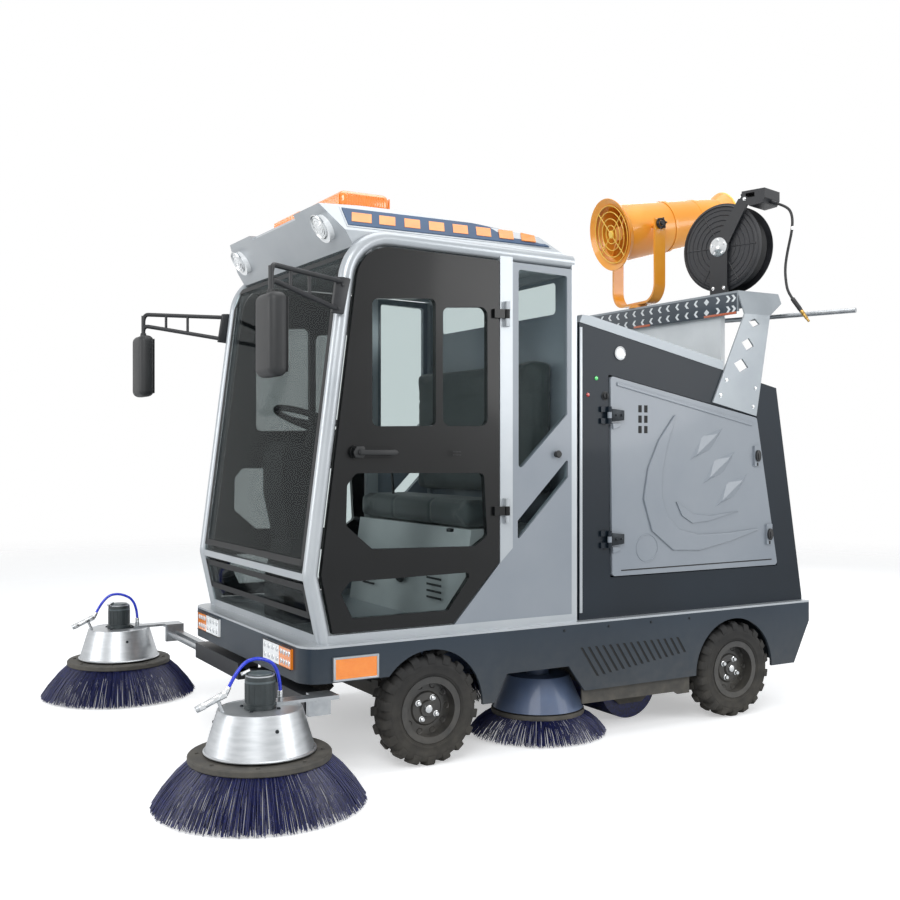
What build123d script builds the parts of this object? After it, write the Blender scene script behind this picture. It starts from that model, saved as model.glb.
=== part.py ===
from build123d import *
import math
import os

# Compact road sweeper. X points forward from the front axle, Y to the vehicle's left,
# Z up from the ground, in millimetres. "side" is 1 on the left and -1 on the right.

os.makedirs("parts", exist_ok=True)

# Running gear
WHEELBASE = 1510
BODY_HALF = 638
WHEEL_Y = BODY_HALF - 49
TYRE_RADIUS = 205
TYRE_WIDTH = 110
TYRE_LUGS = 18
TREAD_FLOOR = 193
LUG_SHARE = 0.96
BEAD_RADIUS = 106
RIM_LIP_RADIUS = 122
HUB_RADIUS = 38
BORE_RADIUS = 16
AXLE_Z = TYRE_RADIUS
KINGPIN_Y = WHEEL_Y - 89
KINGPIN_RADIUS = 10
STEERING_ARM = 110
RUNNING_FIT = 0.05
SEAT_GAP = 0.3

# Body
NOSE_X = 498
TAIL_X = -1968
CORNER_RADIUS = 80
DECK_TOP = 475
DECK_THICK = 8
SKIRT_THICK = 12
SKIRT_BOTTOM = 200
BUMPER_BOTTOM = 345
BUMPER_RETURN_X = 400
ARCH_RADIUS = 222
TAIL_LIP_Z = 383
TAIL_FOOT_X = -1872
SILL_PLATE_BOTTOM = 140

# Chassis
RAIL_Y = 250
RAIL_WIDTH = 50
RAIL_BOTTOM = 380
RAIL_FRONT = 400
RAIL_REAR = -1880

# Cab
CAB_HALF = BODY_HALF - 31
CAB_WALL = 24
TUBE_RADIUS = 27
TUBE_Y = CAB_HALF - CAB_WALL
SILL_HEIGHT = 30
KINK_X = 457
KINK_Z = 718
TUBE_FOOT_X = 405
ROOF_FRONT_X = 299
ROOF_FRONT_Z = 1929
ROOF_DROP = 20
ROOF_BEND = 170
KINK_BEND = 60
CAB_REAR_X = -684
B_PILLAR_FRONT = -320
B_PILLAR_REAR = -377
C_PILLAR_WIDTH = 26
DOOR_GAP = 5
CEILING_Z = 1892
WALL_SHEET = 8

# Rear body
REAR_FRONT_X = -700
REAR_HALF = BODY_HALF - 38
REAR_SHEET = 10
REAR_TOP_Z = 1672
REAR_SLOPE = 0.2135
REAR_TOP_END_X = -1800
REAR_FOOT_X = -2005
COVER_THICK = 40
COVER_END_X = -1475
HATCH_THICK = 24
HATCH_PROUD = 7
HATCH_GAP = 5

# Platform over the rear body
PLATFORM_FRONT = -1600
PLATFORM_REAR = -1850
PLATFORM_Z = 1868
PLATFORM_HALF = REAR_HALF - 35
PLATE = 8
LEG_FOLD_Z = 1760
FLANGE_HEIGHT = 92

# Front brushes
BRUSH_X = 693
ARM_TRAVEL = 444
LEFT_BRUSH_Y = BODY_HALF + 89
RIGHT_BRUSH_Y = LEFT_BRUSH_Y + ARM_TRAVEL
BRUSH_SHAFT_RADIUS = 12
HOSE_RADIUS = 6
HOSE_GAP = 0.3
HOSE_FITTING_TOP = 337
REEL_OUTLET = ((205, 195), (258, 172))
BRUSH_RADIUS = 353
BRUSH_DISC_RADIUS = 235
BRISTLE_TOP = 148
DISC_THICK = 22
HOOD_BOTTOM_RADIUS = 181
HOOD_TOP_RADIUS = 139
HOOD_BOTTOM = 176
HOOD_TOP = 313
MOTOR_RADIUS = 48
MOTOR_HEIGHT = 110
ARM_X = 450
ARM_Z = 275
ARM_LENGTH = 560
SLEEVE_END_Y = BODY_HALF - 18
SLEEVE_START_Y = 60
TIP_CLEARANCE = 3

# Middle brushes and main roller
MID_X = -625
MID_Y = 415
MID_RADIUS = 283
MID_HOOD_TOP_RADIUS = 128
MID_HOOD_BOTTOM_RADIUS = 187
MID_HOOD_TOP = 240
MID_HOOD_BOTTOM = 110
ROLLER_X = -1090
ROLLER_RADIUS = 150
ROLLER_HALF = 430
ROLLER_SHAFT_RADIUS = 15

# Spray cannon and hose reel
CANNON_X = -1636
CANNON_Y = -163
CANNON_Z = 2260
CANNON_YAW = -6.3
CANNON_PITCH = -11.6
MOUTH_REACH = 165
TAIL_REACH = 533
MOUTH_RADIUS = 142
MOUTH_RIM_RADIUS = 175
TAIL_RADIUS = 98
TAIL_RIM_RADIUS = 128
YOKE_HALF = 192
YOKE_STRAP = 12
YOKE_WIDTH = 60
REEL_X = -1745
REEL_Y = 352
REEL_YAW = 15
REEL_RADIUS = 204
REEL_WIDTH = 122


def save(piece, label):
    piece.part.label = label
    export_step(piece.part, f"parts/{label}.step")


def hand(side):
    return "left" if side > 0 else "right"


def side_plane(y):
    """A plane across Y: sketch x is forward, sketch y is up, and extrusion runs to -Y."""
    return Plane(origin=(0, y, 0), x_dir=(1, 0, 0), z_dir=(0, -1, 0))


def wall_plane(side, inner, outer):
    """The plane from which a side wall between two distances from the centre is extruded."""
    return side_plane(outer if side > 0 else -inner)


def front_plane(x):
    """A plane across X: sketch x is to the left, sketch y is up, and extrusion runs to +X."""
    return Plane.YZ.offset(x)


def wheel_plane(x, side):
    """Radial plane of a wheel: sketch x is outward along the axle, sketch y is the radius."""
    return Plane(origin=(x, side * WHEEL_Y, AXLE_Z), x_dir=(0, side, 0), z_dir=(side, 0, 0))


def upright_plane(x, y):
    """Radial plane of a turning brush: sketch x is the radius, sketch y is the height."""
    return Plane(origin=(x, y, 0), x_dir=(1, 0, 0), z_dir=(0, -1, 0))


def roof_z(x):
    """Height of the roof tube's centre line, which drops a little to the rear."""
    return ROOF_FRONT_Z - ROOF_DROP * (ROOF_FRONT_X - x) / (ROOF_FRONT_X - CAB_REAR_X)


def axis_x(z):
    """Distance forward of the front tube's centre line at a height."""
    if z < KINK_Z:
        return TUBE_FOOT_X + (KINK_X - TUBE_FOOT_X) * (z - DECK_TOP) / (KINK_Z - DECK_TOP)
    return KINK_X + (ROOF_FRONT_X - KINK_X) * (z - KINK_Z) / (ROOF_FRONT_Z - KINK_Z)


def body_top(x):
    """Height of the rear body's sloping top."""
    return REAR_TOP_Z + REAR_SLOPE * (x - REAR_FRONT_X)


# Chassis

def add_roller_housing():
    """Cover over the main roller, with end plates, flaps and hangers, in the part being built."""
    z = ROLLER_RADIUS + TIP_CLEARANCE
    plate = 6
    half = ROLLER_HALF + 10
    reach = ROLLER_RADIUS + 14
    top = z + reach
    width = 2 * (half + plate)
    with Locations((ROLLER_X, 0, top)):
        Box(2 * reach, width, plate, align=(Align.CENTER, Align.CENTER, Align.MAX))
    for level in (1, -1):
        with Locations((ROLLER_X + level * (reach - plate / 2), 0, top)):
            Box(plate, width, top - 150, align=(Align.CENTER, Align.CENTER, Align.MAX))
    for side in (1, -1):
        with BuildSketch(wall_plane(side, half, half + plate)) as end_plate:
            Polygon(
                (ROLLER_X + reach, top),
                (ROLLER_X - reach, top),
                (ROLLER_X - reach, 150),
                (ROLLER_X - 60, 70),
                (ROLLER_X + 60, 70),
                (ROLLER_X + reach, 150),
                align=None,
            )
            with Locations((ROLLER_X, z)):
                Circle(ROLLER_SHAFT_RADIUS, mode=Mode.SUBTRACT)
        extrude(end_plate.sketch, amount=plate, dir=(0, -1, 0))
        for x in (ROLLER_X - 60, ROLLER_X + 110):
            with Locations((x, side * RAIL_Y, top)):
                Box(40, 40, RAIL_BOTTOM - top, align=(Align.CENTER, Align.CENTER, Align.MIN))


def make_chassis():
    deck_bottom = DECK_TOP - DECK_THICK
    cross_x = (RAIL_FRONT - 20, -330, -860, RAIL_REAR + 30)
    skirt_inner = BODY_HALF - SKIRT_THICK
    with BuildPart() as frame:
        for side in (1, -1):
            with BuildSketch(Plane.XY.offset(RAIL_BOTTOM)):
                with Locations(((RAIL_FRONT + RAIL_REAR) / 2, side * RAIL_Y)):
                    Rectangle(RAIL_FRONT - RAIL_REAR, RAIL_WIDTH)
            extrude(amount=deck_bottom - RAIL_BOTTOM)
        with BuildSketch(Plane.XY.offset(deck_bottom - 37)):
            for x in cross_x:
                with Locations((x, 0)):
                    Rectangle(40, 2 * skirt_inner)
        extrude(amount=37)
        # Dark plates below the skirts, hung from the cross members
        for side in (1, -1):
            with BuildSketch(wall_plane(side, skirt_inner - 14, skirt_inner - 6)):
                Polygon(
                    (-700, SILL_PLATE_BOTTOM + 4),
                    (-1180, SILL_PLATE_BOTTOM),
                    (-1200, SILL_PLATE_BOTTOM - 12),
                    (-1265, SILL_PLATE_BOTTOM - 12),
                    (-1265, 300),
                    (-880, deck_bottom),
                    (-840, deck_bottom),
                    (-700, 240),
                    align=None,
                )
            extrude(amount=8)
        # Towing plate with its pin hole, under the tail
        with BuildSketch(Plane.XY.offset(RAIL_BOTTOM)):
            with Locations((RAIL_REAR - 60, 0)):
                Rectangle(160, 100)
        extrude(amount=16)
        with BuildSketch(Plane.XY.offset(RAIL_BOTTOM)):
            with Locations((RAIL_REAR + 30, 0)):
                Rectangle(60, 2 * RAIL_Y)
        extrude(amount=deck_bottom - 37 - RAIL_BOTTOM)
        with Locations((RAIL_REAR - 110, 0, RAIL_BOTTOM + 8)):
            Cylinder(13, 40, mode=Mode.SUBTRACT)
        add_roller_housing()
    save(frame, "chassis_frame")


def make_deck():
    """Full-width floor plate whose edge shows as the bright line above the skirts."""
    with BuildPart() as deck:
        with BuildSketch(Plane.XY.offset(DECK_TOP - DECK_THICK)) as outline:
            with Locations(((NOSE_X + TAIL_X) / 2, 0)):
                Rectangle(NOSE_X - TAIL_X, 2 * BODY_HALF)
            fillet(outline.vertices().group_by(Axis.X)[-1], CORNER_RADIUS)
        extrude(amount=DECK_THICK)
    save(deck, "deck")


def make_skirts():
    """Side skirts with the wheel arches and the notch over the middle brush."""
    top = DECK_TOP - DECK_THICK
    rear_axle = -WHEELBASE
    with BuildPart() as skirts:
        for side in (1, -1):
            with BuildSketch(wall_plane(side, BODY_HALF - SKIRT_THICK, BODY_HALF)):
                Polygon(
                    (BUMPER_RETURN_X, top),
                    (TAIL_X, top),
                    (TAIL_X, TAIL_LIP_Z),
                    (TAIL_FOOT_X, SKIRT_BOTTOM),
                    (-ARCH_RADIUS / 4, SKIRT_BOTTOM),
                    (-ARCH_RADIUS / 4, BUMPER_BOTTOM),
                    (BUMPER_RETURN_X, BUMPER_BOTTOM),
                    align=None,
                )
                with Locations((0, AXLE_Z), (rear_axle, AXLE_Z)):
                    Circle(ARCH_RADIUS, mode=Mode.SUBTRACT)
                Polygon(
                    (MID_X - 75, SKIRT_BOTTOM - 1),
                    (MID_X + 3, 305),
                    (MID_X + 295, 305),
                    (MID_X + 350, SKIRT_BOTTOM - 1),
                    align=None,
                    mode=Mode.SUBTRACT,
                )
            extrude(amount=SKIRT_THICK)
        # Rear panel between the two sides, folded forward below its lip
        with BuildSketch(side_plane(BODY_HALF - SKIRT_THICK)):
            Polygon(
                (TAIL_X, top),
                (TAIL_X, TAIL_LIP_Z),
                (TAIL_FOOT_X, SKIRT_BOTTOM),
                (TAIL_FOOT_X + 13, SKIRT_BOTTOM),
                (TAIL_X + SKIRT_THICK, TAIL_LIP_Z + 3),
                (TAIL_X + SKIRT_THICK, top),
                align=None,
            )
        extrude(amount=2 * (BODY_HALF - SKIRT_THICK))
        with Locations((TAIL_X, 0, RAIL_BOTTOM + 8)):
            Box(60, 104, 20, mode=Mode.SUBTRACT)
    save(skirts, "skirts")


def make_bumper():
    """Nose panel that wraps round both front corners."""
    height = DECK_TOP - DECK_THICK - BUMPER_BOTTOM
    with BuildPart() as bumper:
        with BuildSketch(Plane.XY.offset(BUMPER_BOTTOM)) as band:
            with Locations(((NOSE_X + BUMPER_RETURN_X) / 2, 0)):
                Rectangle(NOSE_X - BUMPER_RETURN_X, 2 * BODY_HALF)
            fillet(band.vertices().group_by(Axis.X)[-1], CORNER_RADIUS)
            inner_x = NOSE_X - SKIRT_THICK
            with BuildSketch(mode=Mode.PRIVATE) as hollow:
                with Locations(((inner_x + BUMPER_RETURN_X - 40) / 2, 0)):
                    Rectangle(inner_x - BUMPER_RETURN_X + 40, 2 * (BODY_HALF - SKIRT_THICK))
                fillet(hollow.vertices().group_by(Axis.X)[-1], CORNER_RADIUS - SKIRT_THICK)
            add(hollow.sketch, mode=Mode.SUBTRACT)
        extrude(amount=height)
    save(bumper, "front_bumper")


# Axles and wheels

def leaf_spring_profile(x):
    """Bowed spring under a rail, from its front eye to its rear eye."""
    seat = AXLE_Z + 47
    top = RAIL_BOTTOM
    Polygon(
        (x - 290, top),
        (x - 290, top - 40),
        (x - 140, seat + 26),
        (x - 40, seat),
        (x + 40, seat),
        (x + 140, seat + 26),
        (x + 290, top - 40),
        (x + 290, top),
        (x + 262, top),
        (x + 262, top - 26),
        (x + 130, seat + 48),
        (x + 40, seat + 24),
        (x - 40, seat + 24),
        (x - 130, seat + 48),
        (x - 262, top - 26),
        (x - 262, top),
        align=None,
    )


def make_front_axle():
    with BuildPart() as axle:
        with Locations((0, 0, AXLE_Z)):
            Box(56, 2 * KINGPIN_Y, 50)
        for side in (1, -1):
            with Locations((0, side * KINGPIN_Y, AXLE_Z)):
                Cylinder(24, 66)
            with Locations((0, side * RAIL_Y, AXLE_Z + 36)):
                Box(80, 56, 24)
            with BuildSketch(wall_plane(side, RAIL_Y - 25, RAIL_Y + 25)):
                leaf_spring_profile(0)
            extrude(amount=50)
        for side in (1, -1):
            with Locations((0, side * KINGPIN_Y, AXLE_Z)):
                Cylinder(KINGPIN_RADIUS, 80, mode=Mode.SUBTRACT)
            with Locations((0, side * (KINGPIN_Y + 24), AXLE_Z)):
                Box(60, 30, 20, align=(Align.CENTER, Align.MIN, Align.CENTER), mode=Mode.SUBTRACT)
    save(axle, "front_axle")


def make_rear_axle():
    x = -WHEELBASE
    end = WHEEL_Y + 19
    with BuildPart() as axle:
        with Locations((x, 0, AXLE_Z)):
            Cylinder(35, 2 * (KINGPIN_Y + 10), rotation=(90, 0, 0))
            Cylinder(BORE_RADIUS - RUNNING_FIT, 2 * end, rotation=(90, 0, 0))
            Cylinder(95, 300, rotation=(90, 0, 0))
        for side in (1, -1):
            with Locations((x, side * RAIL_Y, AXLE_Z + 40)):
                Box(80, 56, 16)
            with BuildSketch(wall_plane(side, RAIL_Y - 25, RAIL_Y + 25)):
                leaf_spring_profile(x)
            extrude(amount=50)
    save(axle, "rear_axle")


def make_knuckle(side):
    """Steering knuckle: fork, kingpin, steering arm and stub axle."""
    outer = KINGPIN_Y + 45
    fork_gap = 68
    fork_plate = 14
    end = WHEEL_Y + 19
    with BuildPart() as knuckle:
        for level in (1, -1):
            with Locations((0, side * (KINGPIN_Y + outer - 24) / 2, AXLE_Z + level * (fork_gap + fork_plate) / 2)):
                Box(48, outer - KINGPIN_Y + 24, fork_plate)
        with Locations((0, side * (outer - 7), AXLE_Z)):
            Box(48, 14, fork_gap + 2 * fork_plate)
        with Locations((0, side * KINGPIN_Y, AXLE_Z)):
            Cylinder(KINGPIN_RADIUS - RUNNING_FIT, fork_gap + 2 * fork_plate)
        with Locations((0, side * (outer - 7 + end) / 2, AXLE_Z)):
            Cylinder(BORE_RADIUS - RUNNING_FIT, end - outer + 7, rotation=(90, 0, 0))
        arm_z = AXLE_Z - (fork_gap + fork_plate) / 2
        with Locations((-STEERING_ARM / 2, side * KINGPIN_Y, arm_z)):
            Box(STEERING_ARM, 24, fork_plate)
        with Locations((-STEERING_ARM, side * KINGPIN_Y, arm_z)):
            Cylinder(14, fork_plate)
            Cylinder(6, 2 * fork_plate, mode=Mode.SUBTRACT)
    save(knuckle, f"knuckle_{hand(side)}")


def make_tie_rod():
    """Track rod between the steering arms; its right-hand pin has the wider clearance."""
    arm_bottom = AXLE_Z - 34 - 14
    rod_radius = 9
    rod_z = arm_bottom - 2 - rod_radius
    with BuildPart() as rod:
        with Locations((-STEERING_ARM, 0, rod_z)):
            Cylinder(rod_radius, 2 * KINGPIN_Y, rotation=(90, 0, 0))
        for side, pin in ((1, 6 - RUNNING_FIT), (-1, 5)):
            with Locations((-STEERING_ARM, side * KINGPIN_Y, rod_z - rod_radius - 1)):
                Cylinder(13, 2 * rod_radius + 1, align=(Align.CENTER, Align.CENTER, Align.MIN))
                Cylinder(pin, 2 * rod_radius + 18, align=(Align.CENTER, Align.CENTER, Align.MIN))
    save(rod, "tie_rod")


def ring_plane(x, y):
    """Plane across a wheel's axle, extruded towards +Y."""
    return Plane(origin=(x, y, AXLE_Z), x_dir=(1, 0, 0), z_dir=(0, 1, 0))


def lug_outline(row):
    """Outline of one row of lugs; the rows are half a pitch apart, with a flat to stand on."""
    quarter = 90 / TYRE_LUGS
    half_lug = LUG_SHARE * quarter
    crown = TYRE_RADIUS / math.cos(math.radians(half_lug))
    outline = []
    for step in range(TYRE_LUGS):
        middle = 4 * quarter * step + (1 - row) * quarter
        for radius, turn in ((TREAD_FLOOR, -1), (crown, -1), (crown, 1), (TREAD_FLOOR, 1)):
            angle = math.radians(middle + turn * half_lug)
            outline.append((radius * math.sin(angle), -radius * math.cos(angle)))
    return outline


def make_tyre(x, side, name):
    """Block-tread tyre: many-sided carcass with its bore, and two rows of shoulder lugs."""
    y = side * WHEEL_Y
    half = TYRE_WIDTH / 2
    flat = math.cos(math.radians(180 / TYRE_LUGS))
    bead_half = 46
    flank = 5
    with BuildPart() as tyre:
        with BuildSketch(ring_plane(x, y)):
            RegularPolygon(TREAD_FLOOR - 7, TYRE_LUGS)
        extrude(amount=half, both=True)
        for row in (1, -1):
            wall = tyre.faces().sort_by(Axis.Y)[-1 if row > 0 else 0]
            chamfer(wall.edges(), length=TREAD_FLOOR - TYRE_RADIUS + 38, length2=flank, reference=wall)
        for row in (1, -1):
            with BuildSketch(ring_plane(x, y)):
                Polygon(*lug_outline(row), align=None)
            extrude(amount=row * (half - flank))
            with BuildSketch(ring_plane(x, y + row * bead_half)):
                RegularPolygon((RIM_LIP_RADIUS + 1) / flat, TYRE_LUGS)
            extrude(amount=row * half, mode=Mode.SUBTRACT)
        with BuildSketch(ring_plane(x, y - half)):
            RegularPolygon(BEAD_RADIUS / flat, TYRE_LUGS)
        extrude(amount=2 * half, mode=Mode.SUBTRACT)
    save(tyre, f"tyre_{name}")


def make_rim(x, side, name):
    """Pressed wheel: barrel with two lips, a recessed disc and a closed hub."""
    lip_in = 46.5
    lip_out = 51
    barrel_out = BEAD_RADIUS - SEAT_GAP
    barrel_in = barrel_out - 7
    disc_out = 8
    disc_in = 1
    with BuildPart() as rim:
        with BuildSketch(wheel_plane(x, side)):
            Polygon(
                (-lip_out, RIM_LIP_RADIUS),
                (-lip_out, barrel_in),
                (disc_in, barrel_in),
                (disc_in, HUB_RADIUS),
                (-12, HUB_RADIUS),
                (-12, BORE_RADIUS),
                (20, BORE_RADIUS),
                (20, 0),
                (25, 0),
                (25, HUB_RADIUS - 10),
                (17, HUB_RADIUS - 6),
                (disc_out + 6, HUB_RADIUS + 20),
                (disc_out, HUB_RADIUS + 26),
                (disc_out, barrel_in),
                (lip_out, barrel_in),
                (lip_out, RIM_LIP_RADIUS),
                (lip_in, RIM_LIP_RADIUS),
                (lip_in, barrel_out),
                (-lip_in, barrel_out),
                (-lip_in, RIM_LIP_RADIUS),
                align=None,
            )
        revolve(axis=Axis((x, 0, AXLE_Z), (0, 1, 0)))
    save(rim, f"rim_{name}")


# Cab

def tube_path_points(side):
    """Centre line of one front tube: foot, kink, roof corner and roof end."""
    y = side * TUBE_Y
    return (
        (2 * TUBE_FOOT_X - axis_x(DECK_TOP + 20), y, DECK_TOP - 20),
        (KINK_X, y, KINK_Z),
        (ROOF_FRONT_X, y, ROOF_FRONT_Z),
        (CAB_REAR_X + C_PILLAR_WIDTH / 2, y, roof_z(CAB_REAR_X)),
    )


def sweep_tube(side, radius, mode=Mode.ADD):
    points = tube_path_points(side)
    with BuildLine() as path:
        FilletPolyline(*points, radius=[KINK_BEND, ROOF_BEND])
    start = Vector(*points[0])
    with BuildSketch(Plane(origin=start, z_dir=Vector(*points[1]) - start)) as section:
        Circle(radius)
    sweep(sections=section.sketch, path=path.line, mode=mode)


def make_cab_frame():
    """Bright tubes, pillars, headers and sills that carry the cab's panels."""
    pillar_in = CAB_HALF - 47
    with BuildPart() as frame:
        for side in (1, -1):
            sweep_tube(side, TUBE_RADIUS)
            roof_b = roof_z((B_PILLAR_FRONT + B_PILLAR_REAR) / 2)
            roof_c = roof_z(CAB_REAR_X)
            with BuildSketch(wall_plane(side, pillar_in, CAB_HALF - CAB_WALL)):
                Polygon(
                    (B_PILLAR_REAR, DECK_TOP),
                    (B_PILLAR_FRONT, DECK_TOP),
                    (B_PILLAR_FRONT, CEILING_Z),
                    (B_PILLAR_REAR, CEILING_Z),
                    align=None,
                )
            extrude(amount=CAB_HALF - CAB_WALL - pillar_in)
            # Outer face of the middle pillar, above the slanted quarter panel
            with BuildSketch(wall_plane(side, CAB_HALF - CAB_WALL, CAB_HALF)):
                Polygon(
                    (B_PILLAR_REAR, KINK_Z + 62),
                    (B_PILLAR_FRONT, KINK_Z + 8),
                    (B_PILLAR_FRONT, roof_b - 10),
                    (B_PILLAR_REAR, roof_b - 10),
                    align=None,
                )
            extrude(amount=CAB_WALL)
            with BuildSketch(wall_plane(side, pillar_in, CAB_HALF)):
                Polygon(
                    (CAB_REAR_X, DECK_TOP),
                    (CAB_REAR_X + C_PILLAR_WIDTH, DECK_TOP),
                    (CAB_REAR_X + C_PILLAR_WIDTH, roof_c),
                    (CAB_REAR_X, roof_c),
                    align=None,
                )
            extrude(amount=CAB_HALF - pillar_in)
            with BuildSketch(wall_plane(side, CAB_HALF - CAB_WALL, CAB_HALF)):
                Polygon(
                    (CAB_REAR_X, DECK_TOP),
                    (TUBE_FOOT_X, DECK_TOP),
                    (TUBE_FOOT_X, DECK_TOP + SILL_HEIGHT),
                    (CAB_REAR_X, DECK_TOP + SILL_HEIGHT),
                    align=None,
                )
            extrude(amount=CAB_WALL)
        # Cross rails: bottom, kink, front header and rear header
        for x, z, deep, high in (
            (TUBE_FOOT_X + 5, DECK_TOP + 14, 28, 28),
            (KINK_X + 3, KINK_Z - 8, 26, 26),
            (ROOF_FRONT_X - 66, CEILING_Z - 14, 36, 28),
            (CAB_REAR_X + 12, CEILING_Z - 16, 24, 32),
        ):
            with Locations((x, 0, z)):
                Box(deep, 2 * TUBE_Y, high)
        # Hinge barrels of the doors, one above and one below each door's own barrel
        for side in (1, -1):
            for z in DOOR_HINGE_Z:
                for level in (1, -1):
                    with Locations((DOOR_HINGE_X, side * DOOR_HINGE_Y, z + level * 33)):
                        Cylinder(HINGE_RADIUS, 30)
                    with Locations((DOOR_HINGE_X, side * (CAB_HALF + 2), z + level * 33)):
                        Box(24, 8, 30)
                for level in (1, -1):
                    with Locations((DOOR_HINGE_X, side * DOOR_HINGE_Y, z + level * 33)):
                        Cylinder(HINGE_PIN, 34, mode=Mode.SUBTRACT)
        # The tubes stand on the deck
        with Locations((TUBE_FOOT_X, 0, DECK_TOP)):
            Box(
                200,
                2 * BODY_HALF,
                60,
                align=(Align.CENTER, Align.CENTER, Align.MAX),
                mode=Mode.SUBTRACT,
            )
    save(frame, "cab_frame")


HINGE_RADIUS = 10
HINGE_PIN = 5
DOOR_HINGE_X = -345
DOOR_HINGE_Y = CAB_HALF + 12
DOOR_HINGE_Z = (925, 1680)


def door_outline():
    """Door edge seen from the side, one gap inside the tube, pillar, corner panel and sill."""
    away = TUBE_RADIUS + DOOR_GAP + 0.5
    foot = DECK_TOP + SILL_HEIGHT + DOOR_GAP
    top = ROOF_FRONT_Z - away - 0.5
    rear = B_PILLAR_FRONT + DOOR_GAP
    return (
        (axis_x(foot) - away, foot),
        (KINK_X - away - 1, KINK_Z),
        (axis_x(top) - away, top),
        (rear, roof_z(rear) - away),
        (rear, KINK_Z + 10),
        (-110, foot),
    )


DOOR_WINDOWS = (
    # (corner points of the opening, corner radius)
    (((225, 1702), (-36, 1720), (-37, 1248), (224, 1244)), 22),
    (((-66, 1690), (-262, 1703), (-263, 1250), (-67, 1248)), 30),
    (((289, 1076), (-247, 1071), (-261, 831), (-203, 794), (225, 803), (328, 891), (324, 1034)), 22),
    (((313, 691), (-180, 697), (-180, 677), (-89, 560), (303, 560), (348, 651)), 9),
)


def make_door(side):
    """Framed door with its four openings, hung on the middle pillar."""
    inner = CAB_HALF - CAB_WALL
    with BuildPart() as door:
        with BuildSketch(wall_plane(side, inner, CAB_HALF)) as edge:
            Polygon(*door_outline(), align=None)
            fillet(edge.vertices().sort_by_distance(door_outline()[2])[0], ROOF_BEND - TUBE_RADIUS - DOOR_GAP)
            for points, radius in DOOR_WINDOWS:
                with BuildSketch(mode=Mode.PRIVATE) as window:
                    Polygon(*points, align=None)
                    fillet(window.vertices(), radius)
                add(window.sketch, mode=Mode.SUBTRACT)
        extrude(amount=CAB_WALL)
        for z in DOOR_HINGE_Z:
            with Locations((DOOR_HINGE_X, side * DOOR_HINGE_Y, z)):
                Cylinder(HINGE_RADIUS, 34)
                Cylinder(HINGE_PIN - RUNNING_FIT, 94)
            reach = B_PILLAR_FRONT + DOOR_GAP - DOOR_HINGE_X
            with Locations((DOOR_HINGE_X + reach / 2 + 14, side * (DOOR_HINGE_Y - 3), z)):
                Box(reach + 28, 8, 34)
            with Locations((DOOR_HINGE_X + reach + 16, side * (CAB_HALF + 6), z)):
                Box(24, 13, 34)
        # Handle: round base and flat lever
        with Locations((294, side * (CAB_HALF + 6), 1151)):
            Cylinder(24, 12, rotation=(90, 0, 0))
        with Locations((222, side * (CAB_HALF + 17), 1151)):
            Box(170, 10, 34)
    save(door, f"door_{hand(side)}")


def make_door_glass(side):
    """Clear panes set inside the door's openings."""
    thick = 5
    middle = CAB_HALF - CAB_WALL / 2
    with BuildPart() as panes:
        with BuildSketch(wall_plane(side, middle - thick / 2, middle + thick / 2)):
            for points, radius in DOOR_WINDOWS:
                with BuildSketch(mode=Mode.PRIVATE) as pane:
                    Polygon(*points, align=None)
                    fillet(pane.vertices(), radius)
                    offset(amount=-SEAT_GAP)
                add(pane.sketch)
        extrude(amount=thick)
    save(panes, f"door_glass_{hand(side)}")


QUARTER_WINDOW = ((-404, 1858), (-636, 1850), (-636, 1300), (-404, 1075))
QUARTER_SLOT = ((-400, 885), (-640, 1125), (-640, 1050), (-400, 808))


def make_cab_panels():
    """Grey corner panels behind the doors, each with two panes, and the rear wall."""
    roof = roof_z(B_PILLAR_REAR) - TUBE_RADIUS - 4
    with BuildPart() as panels:
        for side in (1, -1):
            with BuildSketch(wall_plane(side, CAB_HALF - CAB_WALL, CAB_HALF)):
                Polygon(
                    (B_PILLAR_REAR, roof),
                    (CAB_REAR_X + C_PILLAR_WIDTH, roof - 6),
                    (CAB_REAR_X + C_PILLAR_WIDTH, DECK_TOP + SILL_HEIGHT),
                    (-117, DECK_TOP + SILL_HEIGHT),
                    (B_PILLAR_FRONT, KINK_Z + 8),
                    (B_PILLAR_REAR, KINK_Z + 62),
                    align=None,
                )
                for points, radius in ((QUARTER_WINDOW, 12), (QUARTER_SLOT, 6)):
                    with BuildSketch(mode=Mode.PRIVATE) as hole:
                        Polygon(*points, align=None)
                        fillet(hole.vertices(), radius)
                    add(hole.sketch, mode=Mode.SUBTRACT)
            extrude(amount=CAB_WALL)
        # Rear wall between the two rear posts
        half = CAB_HALF - 47
        with BuildSketch(front_plane(CAB_REAR_X)):
            with Locations((0, (DECK_TOP + CEILING_Z - 32) / 2)):
                Rectangle(2 * half, CEILING_Z - 32 - DECK_TOP)
            with BuildSketch(mode=Mode.PRIVATE) as hole:
                Polygon(*REAR_WINDOW, align=None)
                fillet(hole.vertices(), 20)
            add(hole.sketch, mode=Mode.SUBTRACT)
        extrude(amount=WALL_SHEET)
    save(panels, "cab_panels")


REAR_WINDOW = ((-470, 1715), (470, 1715), (470, 1845), (-470, 1845))


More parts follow.
